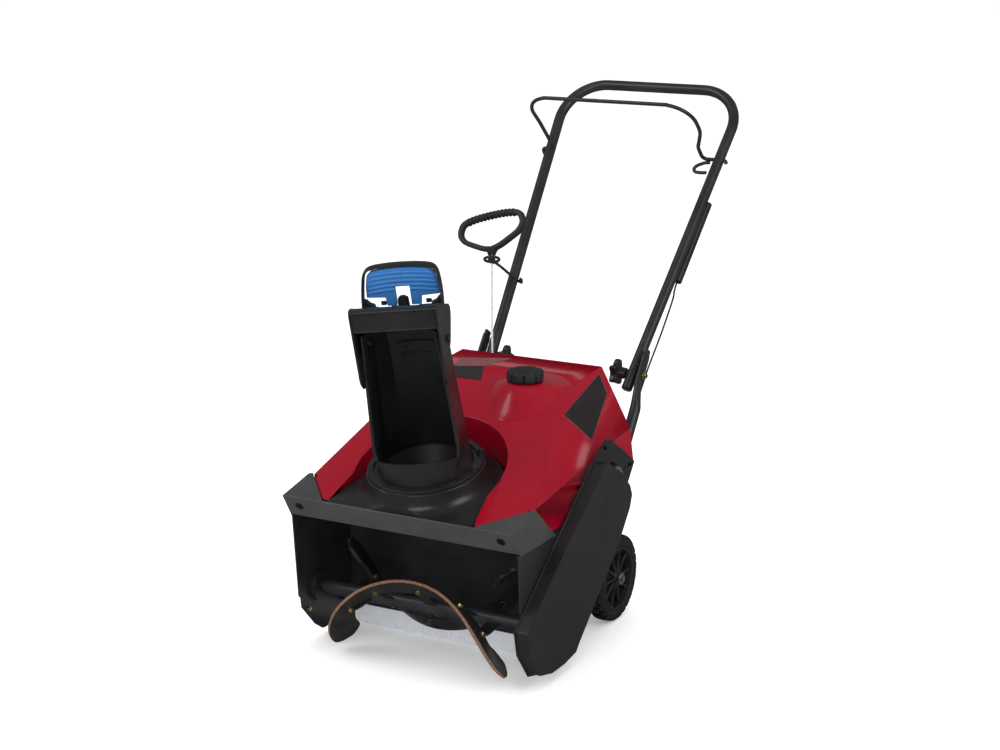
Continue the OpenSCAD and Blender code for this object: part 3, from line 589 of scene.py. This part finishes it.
def build_chute_shell():
    bm = bmesh.new()
    chute_wall(bm)
    chute_lip(bm)
    lathe(bm, [(86, 0.2), (97.3, 0.2), (97.3, 2.4), (90, 3.2), (86, 3.2)], 96)
    add_piece("chute_shell", bm, CHUTE, "chute_body", "black_plastic", ["chute"], smooth=24)


def build_chute_edges():
    """Beads down the front edges, the ears that carry the deflector's pins, and short side ribs."""
    bm = bmesh.new()
    for side in (-1, 1):
        edge = [Vector((side * (chute_half(z)[0].x - 1.2), -CHUTE_FRONT + 0.5, z)) for z in
                [48 + (290 - 48) * k / 12 for k in range(13)]]
        tube(bm, edge, lambda t: 3.2 - 0.8 * t, 12)
        ear = rounded([(-12, 236), (20, 236), (22, 262), (4, 276), (-12, 272)], 7)
        prism(bm, ear, 66 * side, 72 * side, "x")
        for z in (90, 140, 190):
            half = chute_half(z)
            start = Vector((side * (half[0].x - 0.5), half[0].y + 8, z))
            end = Vector((side * (half[2].x - 0.5), half[2].y, z))
            tube(bm, [start, end], 1.6, 8)
    bevel(add_piece("chute_edges", bm, CHUTE, "chute_body", "black_plastic"), 0.6)


def build_chute_ribs():
    """Three steps and a raised frame with two screws, high on the inside of the back."""
    bm = bmesh.new()
    for z, w, d in ((188, 30, 5), (212, 34, 7), (236, 38, 9)):
        y = chute_half(z)[-1].y - 3
        outline = rounded([(-w, y), (-w + 3, y - d), (w - 3, y - d), (w, y)], 2.5, 3)
        prism(bm, outline, z, z + 4.5, "z")
    outline = rounded([(-40, 182), (40, 182), (44, 252), (-44, 252)], 8)
    inner_line = rounded([(-35, 187), (35, 187), (39, 247), (-39, 247)], 6)
    y = chute_half(216)[-1].y - 3
    rings = [[Vector((p[0], y + d, p[1])) for p in line] for line, d in
             ((outline, 0), (outline, -2.2), (inner_line, -2.2), (inner_line, 0))]
    skin(bm, rings, closed_path=True)
    for x in (-22, 22):
        hex_head(bm, (x, y - 0.5, 203), (0, -1, 0), 3.2, 3)
    bevel(add_piece("chute_ribs", bm, CHUTE, "chute_body", "black_plastic"), 0.6)


# Side plate of the deflector as (y, z) points
CHEEK = [(-64, 92), (-68, 86), (-63, -48), (-44, -68), (-32, -62), (-6, -26), (24, -18), (62, 20),
         (62, 36), (-50, 90)]


def build_deflector_cap():
    """Two cheeks with rolled rims, the ribbed top plate and its turned-down front."""
    bm = bmesh.new()
    outline = rounded(CHEEK, 10)
    for side in (-1, 1):
        prism(bm, outline, side * 73.2, side * 75.6, "x")
        rim = [Vector((side * 74.4, p[0] * 0.985, p[1] * 0.985)) for p in outline]
        tube(bm, rim, 2.0, 10, closed=True)
    plate = [(-66, 84), (-64, 92), (-50, 90), (62, 38), (62, 34), (-50, 86), (-61, 87.5), (-63, 84)]
    prism(bm, plate, -75, 75, "x")
    prism(bm, [(-67, 86), (-63, 86), (-59, 49), (-62, 49)], -75, 75, "x")
    tube(bm, [(-75, -65.5, 88), (75, -65.5, 88)], 3.6, 16)
    tube(bm, [(-73, -60.5, 50), (73, -60.5, 50)], 2.2, 12)
    for x in (-48, 0, 48):
        prism(bm, [(-60, 88.5), (-54, 93), (48, 47), (52, 41)], x - 1.5, x + 1.5, "x")
    bevel(add_piece("deflector_cap", bm, CAP, "deflector_body", "black_plastic", ["deflector"]), 0.7)


def build_deflector_arch():
    """Flat grip arch on two feet, with the trigger's middle post and its two springs."""
    bm = bmesh.new()
    half = smooth_path([(70, 26, -14), (70, 27, 14), (70, 29, 44), (70, 37, 68), (68, 45, 92), (64, 49, 110),
                        (54, 51, 119), (28, 52, 122.5), (0, 52, 123.5)], 5)
    path = half + [Vector((-p.x, p.y, p.z)) for p in half[-2::-1]]
    rings = []
    for i, p in enumerate(path):
        t = (path[min(i + 1, len(path) - 1)] - path[max(i - 1, 0)]).normalized()
        deep = Vector((0, 1, 0))
        deep = (deep - deep.dot(t) * t).normalized()
        flat = t.cross(deep)
        wide = 10 if p.z > 60 else 10 + 5 * min(1, (60 - p.z) / 60)
        rings.append([p + flat * 2.6 * math.cos(a) + deep * wide * math.sin(a)
                      for a in [2 * math.pi * k / 20 for k in range(20)]])
    skin(bm, rings)
    prism(bm, rounded([(-11, 30), (11, 30), (9, 66), (-9, 66)], 3), 38, 44, "y")
    tube(bm, [(0, 36, 40), (0, 40, 68)], 6, 14)
    for side in (-1, 1):
        foot = rounded([(50, 30), (71, 30), (71, 66), (64, 66), (58, 58), (50, 56)], 4)
        prism(bm, [(side * x, z) for x, z in foot], 28, 42, "y")
    for x in (-40, 40):
        coil = [Vector((x + 9 * k / 60, 44 + 3.4 * math.cos(k * 0.75), 55 + 3.4 * math.sin(k * 0.75)))
                for k in range(60)]
        tube(bm, coil, 0.7, 6)
    add_piece("deflector_arch", bm, CAP, "deflector_body", "black_plastic")


def build_trigger():
    """Trigger pad with a notch each side of its middle, and finger ribs across its front."""
    bm = bmesh.new()
    outline = [(-65, 66), (-32, 64), (-30, 48), (-13, 48), (-13, 84), (13, 84), (13, 48), (30, 48),
               (32, 64), (65, 66), (64, 86), (60, 106), (52, 114), (26, 118), (0, 119), (-26, 118),
               (-52, 114), (-60, 106), (-64, 86)]
    prism(bm, outline, 45.5, 54, "y")
    for z in (76, 84, 92, 100, 108):
        reach = 62.5 - (z - 76) * 0.18
        spans = ((-reach, -14), (14, reach)) if z < 80 else ((-reach, reach),)
        for a, b in spans:
            xs = [a + (b - a) * k / 12 for k in range(13)]
            tube(bm, [Vector((x, 46.4, z + 3 - 5 * (x / 60) ** 2)) for x in xs], 3.0, 12)
    pad = add_piece("trigger_pad", bm, CAP, "trigger", "blue_plastic", ["deflector_trigger"], smooth=50)
    bevel(pad, 1.6, 3)


# ---------- handles ----------
# Tube radius, splay of the legs, their x at the fold axis, length to the grip bar, radius of the top bends
TUBE_R, SPLAY, LEG_X0, HANDLE_LEN, BEND_R = 11, 0.069, 161, 686, 90


def leg_x(s):
    """Distance of a leg from the centre plane, s millimetres up from the fold axis."""
    return LEG_X0 + SPLAY * s


def squared(value, power):
    """Cosine or sine raised to a power below 1, which squares off a round section."""
    return math.copysign(abs(value) ** power, value)


def build_handle_tube():
    """Bent tube of the upper handle, its legs splayed outwards."""
    lean = math.atan(SPLAY)
    cy = HANDLE_LEN - BEND_R
    cx = leg_x(cy) - BEND_R / math.cos(lean)
    half = [Vector((leg_x(s), s, 0)) for s in (-34, -20, 100, 300, 500, 590)]
    half += [Vector((cx + BEND_R * math.cos(a), cy + BEND_R * math.sin(a), 0)) for a in
             [-lean + (math.pi / 2 + lean) * k / 16 for k in range(17)]]
    path = half + [Vector((-p.x, p.y, 0)) for p in half[::-1]]
    bm = bmesh.new()
    tube(bm, path, TUBE_R, 32)
    add_piece("handle_tube", bm, HANDLE, "handle", "black_steel", ["upper_handle"])


# Lower tube: distance from the centre plane, and the height over which its top end is pressed flat
LOWER_X, FLAT_FROM, FLAT_OVER = 190, 385, 40


def build_lower_tube(name, side):
    """Lower tube, round below and pressed flat at the fold, with the nut of its fold bolt."""
    knots = [(196, 30), (218, 36), (236, 44), (304, 92), (372, 140), (400, 160), (436, 186),
             (470, 211), (486, 222)]
    path = smooth_path([(LOWER_X, y, z) for z, y in knots], 4)
    rings = []
    for i, p in enumerate(path):
        way = (path[min(i + 1, len(path) - 1)] - path[max(i - 1, 0)]).normalized()
        broad = X_AXIS.cross(way)
        flat = min(1, max(0, (p.z - FLAT_FROM) / FLAT_OVER))
        edge = 1 - 0.45 * flat
        thick, wide = TUBE_R - 7.5 * flat, TUBE_R + 3.5 * flat
        if p.z > 476:
            wide *= 0.75
        middle = Vector((side * (LOWER_X - 8.5 * flat), p.y, p.z))
        rings.append([middle + X_AXIS * thick * squared(math.cos(a), edge)
                      + broad * wide * squared(math.sin(a), edge)
                      for a in [2 * math.pi * k / 28 for k in range(28)]])
    bm = bmesh.new()
    skin(bm, rings)
    add_piece("lower_tube_" + name, bm, AXLE, "chassis", "black_steel", ["lower_handle_" + name])
    bm = bmesh.new()
    hex_head(bm, (side * 185.5, 196, 440), (side, 0, 0), 6.5, 6)
    bevel(add_piece("fold_nut_" + name, bm, AXLE, name + "_knob", "gold_zinc"), 0.4)


def build_cable():
    """Drive cable: from its sleeve down the right leg, bent across the fold, and into the rear panel."""
    to_handle = HANDLE.inverted() @ AXLE
    path = [(188.6, 426, -22.1), (179, 236, -26), (182, 190, -26), (181, 110, -26), (178, 50, -26),
            (177, 25, -26), (177, 0, -26), (177, -25, -26), (176, -56, -28), (172, -100, -36)]
    path += [to_handle @ Vector(p) for p in ((152, 98, 272), (147, 68, 248))]
    bm = bmesh.new()
    tube(bm, smooth_path(path, 5), 1.9, 12)
    cable = add_piece("drive_cable", bm, HANDLE, None, "cable_black", ["control_cable"])
    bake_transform(cable)


def build_bail():
    """Bail rod with its two bent ends, and the hook that pulls the control cable."""
    corner = [(128 + 58 * math.sin(a), 134 + 58 * math.cos(a), 0) for a in
              [math.radians(k * 90 / 8) for k in range(9)]]
    right = corner + [(184, 100, 0), (170, 62, 0), (163, 44, 0), (161, 20, 0), (161.5, 8, 0), (167, 1, 0),
                      (176, 0, 0)]
    left = [(-x, y, z) for x, y, z in corner]
    left += [(-185, 100, 0), (-186, 60, 0), (-187, 28, 0), (-187, 8, 0), (-192, 0, 0)]
    far_right = [(190, 0, 0), (205, 0, 0), (211, -1, 2), (213, -4, 6)]
    far_left = [(-200, 0, 0), (-211, 0, 1), (-214, -4, 5), (-208, -9, 12), (-199, -8, 14)]
    bm = bmesh.new()
    tube(bm, smooth_path(far_left[::-1] + left[::-1] + [(0, 192, 0)] + right + far_right, 5), 4, 16)
    add_piece("bail_rod", bm, BAIL, "bail_body", "black_steel", ["bail"])
    bm = bmesh.new()
    loop = [(178, 0, 8), (166, 0, 10), (152, 0, 18), (148, 0, 26), (153, 0, 33), (166, 0, 34), (177, 0, 33)]
    tube(bm, smooth_path(loop, 6), 3.6, 14)
    tube(bm, smooth_path([(182, -14, 0), (184, -14, 24), (187, -14, 60), (190, -15, 100)], 5), 1.2, 8)
    add_piece("cable_hook", bm, BAIL, "bail_body", "black_steel")


def build_knob(name, sign):
    """Five-lobed knob, its collar, and the bolt that the handle folds about."""
    place = local_frame(Vector((0, *joint_at("handle_fold").yz)), (0, 1, 0), (sign, 0, 0))
    bm = bmesh.new()
    rings = []
    for h, grow in ((118, 0.80), (119.2, 0.92), (121.5, 1.0), (130.5, 1.0), (133, 0.93), (134, 0.82)):
        ring = []
        for k in range(90):
            a = 2 * math.pi * k / 90
            r = 21 + 5 * math.cos(5 * a) + 0.9 * math.cos(10 * a)
            ring.append(Vector((r * grow * math.cos(a), r * grow * math.sin(a), h)))
        rings.append(ring)
    skin(bm, rings)
    lathe(bm, [(0.2, 116.8), (8, 116.8), (9.5, 118), (9.5, 120), (0.2, 120)], 40)
    lathe(bm, [(4.2, 133), (14, 133), (12, 137), (11, 147), (10, 148.4), (4.2, 148.4)], 48)
    lathe(bm, [(0.2, 140), (4, 140), (4, 192), (3.2, 193), (0.2, 193)], 32)
    add_piece("fold_knob_" + name, bm, place, name + "_knob", "black_plastic", ["knob_" + name], smooth=40)


def build_starter_grip():
    """D-shaped grip with its neck, and ribs round the bar."""
    bm = bmesh.new()
    loop = [(0, 14), (20, 19), (42, 29), (64, 41), (74, 54), (74, 68), (66, 80), (44, 86), (0, 88.5)]
    loop = smooth_path([(x, 0, z) for x, z in loop], 5)
    loop = loop + [Vector((-p.x, 0, p.z)) for p in loop[-2:0:-1]]
    rings = []
    for i, p in enumerate(loop):
        t = (loop[(i + 1) % len(loop)] - loop[i - 1]).normalized()
        flat = t.cross(Vector((0, 1, 0)))
        thick = 5.6 + 0.8 * max(0, (p.z - 60) / 26)
        rings.append([p + flat * thick * squared(math.cos(a), 0.6)
                      + Vector((0, 7.2 * squared(math.sin(a), 0.6), 0))
                      for a in [2 * math.pi * k / 20 + 0.05 for k in range(20)]])
    skin(bm, rings, closed_path=True)
    lathe(bm, [(2.6, 2), (8, 2), (9.5, 6), (12.5, 12), (11, 16), (2.6, 17)], 40)
    add_piece("pull_grip", bm, GRIP, "grip", "grain_plastic", ["starter_grip"], smooth=40)
    bm = bmesh.new()
    for k in range(13):
        x = -54 + 9 * k
        z = 87.6 - 5.5 * (abs(x) / 60) ** 3
        ring = [Vector((x, 8.3 * math.cos(a), z + 7.3 * math.sin(a))) for a in
                [2 * math.pi * i / 24 for i in range(24)]]
        tube(bm, ring, 1.4, 8, closed=True)
    add_piece("pull_grip_ribs", bm, GRIP, "grip", "grain_plastic")


def build_rope_guide():
    """Wire eye round the rope, its tail clipped to the left handle leg."""
    bm = bmesh.new()
    way = joint_axis("starter_pull")
    centre = ROPE_TOP - 8 * way
    eye = []
    for k in range(29):
        a = math.radians(100 + 12.5 * k)
        eye.append(centre + 15 * Vector((math.cos(a), math.sin(a), 0.25 * math.cos(a) - 0.5 * math.sin(a))))
    tail = [Vector(p) for p in ((-156, 326, 572), (-163, 322, 575), (-167, 312, 582), (-170, 288, 598),
                                (-171, 262, 614))]
    tube(bm, smooth_path(tail + eye, 4), 3, 14)
    hex_head(bm, (-160, 322, 578), (1, 0, 0), 4.5, 5)
    across = way.cross(X_AXIS).normalized()
    turns = [2 * math.pi * k / 24 for k in range(24)]
    skin(bm, [[centre + way * h + r * (math.cos(a) * X_AXIS + math.sin(a) * across) for a in turns]
              for h, r in ((-9, 5), (-5, 8), (-1, 8.5), (3, 7))])
    add_piece("rope_eye", bm, AXLE, "handle", "black_steel", ["rope_guide"])


def on_hood(point, away, lift):
    """Point of the hood's skin (millimetres in AXLE), reached against the direction away, lifted off it."""
    start = AXLE @ (Vector(point) + 60 * Vector(away))
    hit, normal = HOOD_TREE.ray_cast(start, -(AXLE.to_3x3() @ Vector(away)).normalized())[:2]
    return AXLE.inverted() @ (hit + normal * lift * MM)


# Underside of the fuel cap, 10 mm below its joint's point
CAP_FOOT = local_frame(joint_at("cap_turn") - Vector((0, 0, 0.010)), X_AXIS, (0, 0, 1))


def build_filler_cap():
    """Fuel cap with eight shallow lobes and a raised ring on top."""
    bm = bmesh.new()
    rings = []
    for h, grow, wave in ((0.4, 0.93, 1), (1.5, 0.97, 1), (15, 0.98, 1), (17.5, 0.95, 1), (19.2, 0.88, 0.9),
                          (20, 0.8, 0.7)):
        ring = []
        for k in range(128):
            a = 2 * math.pi * k / 128
            r = 34 + wave * 2.6 * (abs(math.cos(4 * a)) ** 0.5 * 2 - 1)
            ring.append(Vector((r * grow * math.cos(a), r * grow * math.sin(a), h)))
        rings.append(ring)
    skin(bm, rings)
    lathe(bm, [(0.2, 19.6), (16, 19.6), (17, 20.4), (15.5, 20.4), (0.2, 20)], 60)
    add_piece("filler_cap", bm, CAP_FOOT, "cap", "grain_plastic", ["fuel_cap"], smooth=38)


def build_filler_boss():
    """Red boss that rises from the hood's skin to the underside of the fuel cap."""
    bm = bmesh.new()
    centre = AXLE.inverted() @ CAP_FOOT.translation
    rings = []
    for r in (25, 34, 37, 40, 45, 52, 60, 70, 80, 90, 96):
        t = min(1, max(0, (r - 37) / 57))
        keep = 1 - t * t * (3 - 2 * t)
        ring = []
        for k in range(72):
            a = 2 * math.pi * k / 72
            reach = r * (1 - 0.3 * max(0, -math.cos(a)) * min(1, r / 90) - 0.1 * max(0, math.cos(a)))
            x, y = centre.x + reach * math.cos(a), centre.y + reach * math.sin(a)
            low = 0
            if r > 30:
                low = on_hood((x, y, centre.z + 40), (0, 0, 1), -0.6 if r > 92 else 0.25).z
            top = centre.z - 1.4 - (1.2 if r < 30 else 0)
            ring.append(Vector((x, y, low + (top - low) * keep)))
        rings.append(ring)
    skin(bm, rings, caps=False)
    obj = add_piece("filler_boss", bm, AXLE, "chassis", "red_shell", smooth=60)
    solid = obj.modifiers.new("Solid", "SOLIDIFY")
    solid.thickness, solid.offset = 2 * MM, -1


def build_front_band():
    """Grey band across the front with a folded cap over each corner and a screw recess near each end; the
    recesses and the strips beside the caps are near-black painted shade.
    """
    bm = bmesh.new()
    front = [(-449, 306), (-446.5, 308), (-443, 306.5), (-419.5, 265.5), (-421, 263.6), (-424.4, 264)]
    reach = (238.5, 238.5, 238.3, 234, 234, 238.3)
    xs = [-1, -0.97, 0.97, 1]
    skin(bm, [[Vector((t * w, y, z)) for (y, z), w in zip(front, reach)] for t in xs])
    for side in (-1, 1):
        outer = [(-449, 306.2), (-363, 325.5), (-288, 259), (-421, 259)]
        skin(bm, [[Vector((side * x, y, z)) for y, z in outer] for x in (236.3, 239)])
        cap = [(153, -446), (238.8, -448), (238.8, -362), (233, -357), (166, -431)]
        top = [Vector((side * x, y, 306.4 + (y + 447) * 0.221)) for x, y in cap]
        skin(bm, [[p + Vector((0, 0, -3)) for p in top], top])
    bevel(add_piece("front_band", bm, AXLE, "chassis", "grey_plastic", ["front_lip", "cover_screws"]), 1.0)
    bm = bmesh.new()
    # The screw recesses are shallow near-black discs standing on the band's face round a small screw head:
    # painted shade for the dark inside of the holes.
    tilt = Vector((0, -0.859, -0.511))
    for x in (-209, 209):
        at = Vector((x, -437.9, 287.2))
        v = tilt.cross(X_AXIS)
        turns = [2 * math.pi * k / 32 for k in range(32)]
        steps = ((8.2, 0.2), (8.0, 0.9), (6.4, 0.9), (6.0, 0.25), (5.6, 0.25), (2.6, 0.5))
        skin(bm, [[at + tilt * h + r * (math.cos(a) * X_AXIS + math.sin(a) * v) for a in turns]
                  for r, h in steps])
    for y, z in ((-92, 372), (20, 312)):
        hex_head(bm, (240, y, z), (1, 0, 0), 3.4, 3.5)
    # Near-black strips just below the corner caps, showing past their inner edges: painted shade along the
    # caps' edges.
    for side in (-1, 1):
        painted_shade_strip = [Vector((side * x, y, 301 + (y + 447) * 0.221)) for x, y in
                 ((158, -436), (228, -362), (222, -346), (150, -420))]
        skin(bm, [painted_shade_strip, [p - Vector((0, 0, 1.5)) for p in painted_shade_strip]])
    bevel(add_piece("band_screws_and_painted_shade", bm, AXLE, "chassis", "screw_black_and_painted_shade"), 0.3)


# A label's underside, in millimetres off the hood's skin, and its grid cells each way
LABEL_ROOT, LABEL_CELLS = -0.4, 10


def label(name, corners, away, mat, lift, shrink=0.0):
    """Thin plate laid on the hood between four corners; a negative shrink makes it wider."""
    cells = LABEL_CELLS
    middle = sum((Vector(c) for c in corners), Vector()) / 4
    a, b, c, d = [Vector(p) + (middle - Vector(p)).normalized() * shrink for p in corners]
    bm = bmesh.new()
    rows = []
    for i in range(cells + 1):
        row = []
        for j in range(cells + 1):
            u, v = i / cells, j / cells
            at = a.lerp(b, u).lerp(d.lerp(c, u), v)
            row.append([bm.verts.new(on_hood(at, away, height)) for height in (lift, LABEL_ROOT)])
        rows.append(row)
    for i in range(cells):
        for j in range(cells):
            quad = [rows[i][j], rows[i + 1][j], rows[i + 1][j + 1], rows[i][j + 1]]
            bm.faces.new([q[0] for q in quad])
            bm.faces.new([q[1] for q in quad][::-1])
    rim = ([rows[i][0] for i in range(cells)] + [rows[cells][j] for j in range(cells)]
           + [rows[i][cells] for i in range(cells, 0, -1)] + [rows[0][j] for j in range(cells, 0, -1)])
    for p, q in zip(rim, rim[1:] + rim[:1]):
        bm.faces.new((p[0], q[0], q[1], p[1]))
    add_piece(name, bm, AXLE, "chassis", mat)


def build_labels():
    side = [(176, -136, 437), (160, 44, 473), (179, 40, 438), (208, -84, 381)]
    label("label_side_edge", side, (0.87, 0, 0.48), "label_edge", 0.5, -3)
    label("label_side", side, (0.87, 0, 0.48), "label", 0.9)
    top = [(-118, -42, 475), (-124, 14, 479), (-30, 47, 482), (-58, -18, 477)]
    label("label_top_upper", top, (0, 0, 1), "label_edge", 0.6)
    low = [(-84, -104, 468), (-117, -44, 475), (-57, -20, 477), (-20, -98, 471)]
    label("label_top_lower", low, (0, 0, 1), "label", 0.6)


build_rotor()
for side_name, sign in (("left", -1), ("right", 1)):
    build_wheel(side_name, sign)
    build_knob(side_name, sign)
build_chute_shell()
build_chute_edges()
build_chute_ribs()
build_deflector_cap()
build_deflector_arch()
build_trigger()
build_handle_tube()
build_lower_tube("left", -1)
build_lower_tube("right", 1)
build_cable()
build_bail()
build_starter_grip()
build_filler_boss()
build_filler_cap()
build_rope_guide()
build_front_band()
build_labels()

DRESSED = {
    "black_steel": ["side_plate_left", "side_plate_right", "rotor_housing", "discharge_duct",
                    "rotor_bearings"],
    "black_plastic": ["deck_panel", "engine_deck", "belt_cover", "control_panel", "chute_ring", "choke_knob",
                      "cable_sleeve", "power_inlet", "recoil_housing"],
    "grey_plastic": ["fuel_tank"],
    "red_shell": ["hood"],
    "pale_plastic": ["scraper"],
    "gold_zinc": ["housing_bolts"],
    "dark_steel": ["rotor_shaft", "ring_bolts", "deflector_pins", "muffler", "idler_arm", "starter_motor"],
    "bright_steel": ["axle_bolts", "wheel_axle", "crank_pulley", "rotor_pulley", "idler_pulley",
                     "recoil_pulley"],
    "cast_aluminium": ["engine_block", "cylinder_head", "carburetor"],
    "rubber": ["drive_belt", "primer_bulb"],
    "rope": ["starter_rope"],
    "red_plastic": ["ignition_key"],
    "grey_button": ["start_button"],
}
EDGE = {"hood": 1.2, "side_plate_left": 0.6, "side_plate_right": 0.6, "belt_cover": 2.2,
        "deck_panel": 0.8, "rotor_housing": 0.5, "chute_ring": 0.8}
for mat, names in DRESSED.items():
    for name in names:
        dress(name, mat, EDGE.get(name, 0.4))


# ---------- studio ----------
def less_when_mirrored(tree, plain, mirrored):
    """Value that is plain for the camera and diffuse light, and mirrored in reflections."""
    path = tree.nodes.new("ShaderNodeLightPath")
    mix = tree.nodes.new("ShaderNodeMix")
    tree.links.new(path.outputs["Is Glossy Ray"], mix.inputs["Factor"])
    mix.inputs["A"].default_value, mix.inputs["B"].default_value = plain, mirrored
    return mix.outputs["Result"]


def world_light():
    world = bpy.data.worlds.new("studio")
    world.use_nodes = True
    tree = world.node_tree
    back = tree.nodes["Background"]
    back.inputs["Color"].default_value = (1, 1, 1, 1)
    tree.links.new(less_when_mirrored(tree, 1.0, 0.16), back.inputs["Strength"])
    bpy.context.scene.world = world


def area_light(name, at, target, size, power, mirrored=True):
    data = bpy.data.lights.new(name, "AREA")
    data.shape = "RECTANGLE"
    data.size, data.size_y = size
    data.energy = power
    obj = bpy.data.objects.new(name, data)
    obj.location = at
    obj.visible_glossy = mirrored
    obj.rotation_euler = (Vector(target) - Vector(at)).to_track_quat("-Z", "Y").to_euler()
    bpy.context.scene.collection.objects.link(obj)


def floor():
    bm = bmesh.new()
    bmesh.ops.create_grid(bm, x_segments=8, y_segments=8, size=60)
    mesh = bpy.data.meshes.new("studio_floor")
    bm.to_mesh(mesh)
    bm.free()
    white = surface("floor_white", (0.94, 0.94, 0.945), 0.6, grain=0.05, mottle=0)
    bsdf = white.node_tree.nodes["Principled BSDF"]
    bsdf.inputs["Emission Color"].default_value = (1, 1, 1, 1)
    tree = white.node_tree
    tree.links.new(less_when_mirrored(tree, 0.22, 0.0), bsdf.inputs["Emission Strength"])
    dark = tree.nodes.new("ShaderNodeBsdfDiffuse")
    dark.inputs["Color"].default_value = (0.1, 0.1, 0.1, 1)
    blend = tree.nodes.new("ShaderNodeMixShader")
    tree.links.new(less_when_mirrored(tree, 0.0, 1.0), blend.inputs["Fac"])
    tree.links.new(bsdf.outputs["BSDF"], blend.inputs[1])
    tree.links.new(dark.outputs["BSDF"], blend.inputs[2])
    tree.links.new(blend.outputs["Shader"], tree.nodes["Material Output"].inputs["Surface"])
    mesh.materials.append(white)
    obj = bpy.data.objects.new("studio_floor", mesh)
    bpy.context.scene.collection.objects.link(obj)


def camera():
    data = bpy.data.cameras.new("camera")
    data.lens, data.sensor_width = 70.38, 36
    data.clip_start, data.clip_end = 0.1, 60
    obj = bpy.data.objects.new("camera", data)
    az, el = math.radians(28.65), math.radians(14.06)
    back = Vector((math.sin(az) * math.cos(el), -math.cos(az) * math.cos(el), math.sin(el)))
    obj.rotation_euler = back.to_track_quat("Z", "Y").to_euler()
    obj.location = (1.7391, -2.9942, 1.3835)
    bpy.context.scene.collection.objects.link(obj)
    bpy.context.scene.camera = obj


bpy.context.scene.view_settings.view_transform = "Standard"
world_light()
floor()
area_light("key", (-2.6, -2.2, 3.4), (0, 0, 0.4), (2.4, 2.4), 50)
area_light("side", (3.2, -0.6, 2.2), (0.1, 0.1, 0.4), (1.6, 2.0), 30)
area_light("top", (0, 0.6, 3.8), (0, 0.1, 0), (3.0, 2.4), 30, mirrored=False)
area_light("front", (0.6, -4.2, 1.6), (0, 0, 0.35), (2.6, 1.0), 32)
camera()
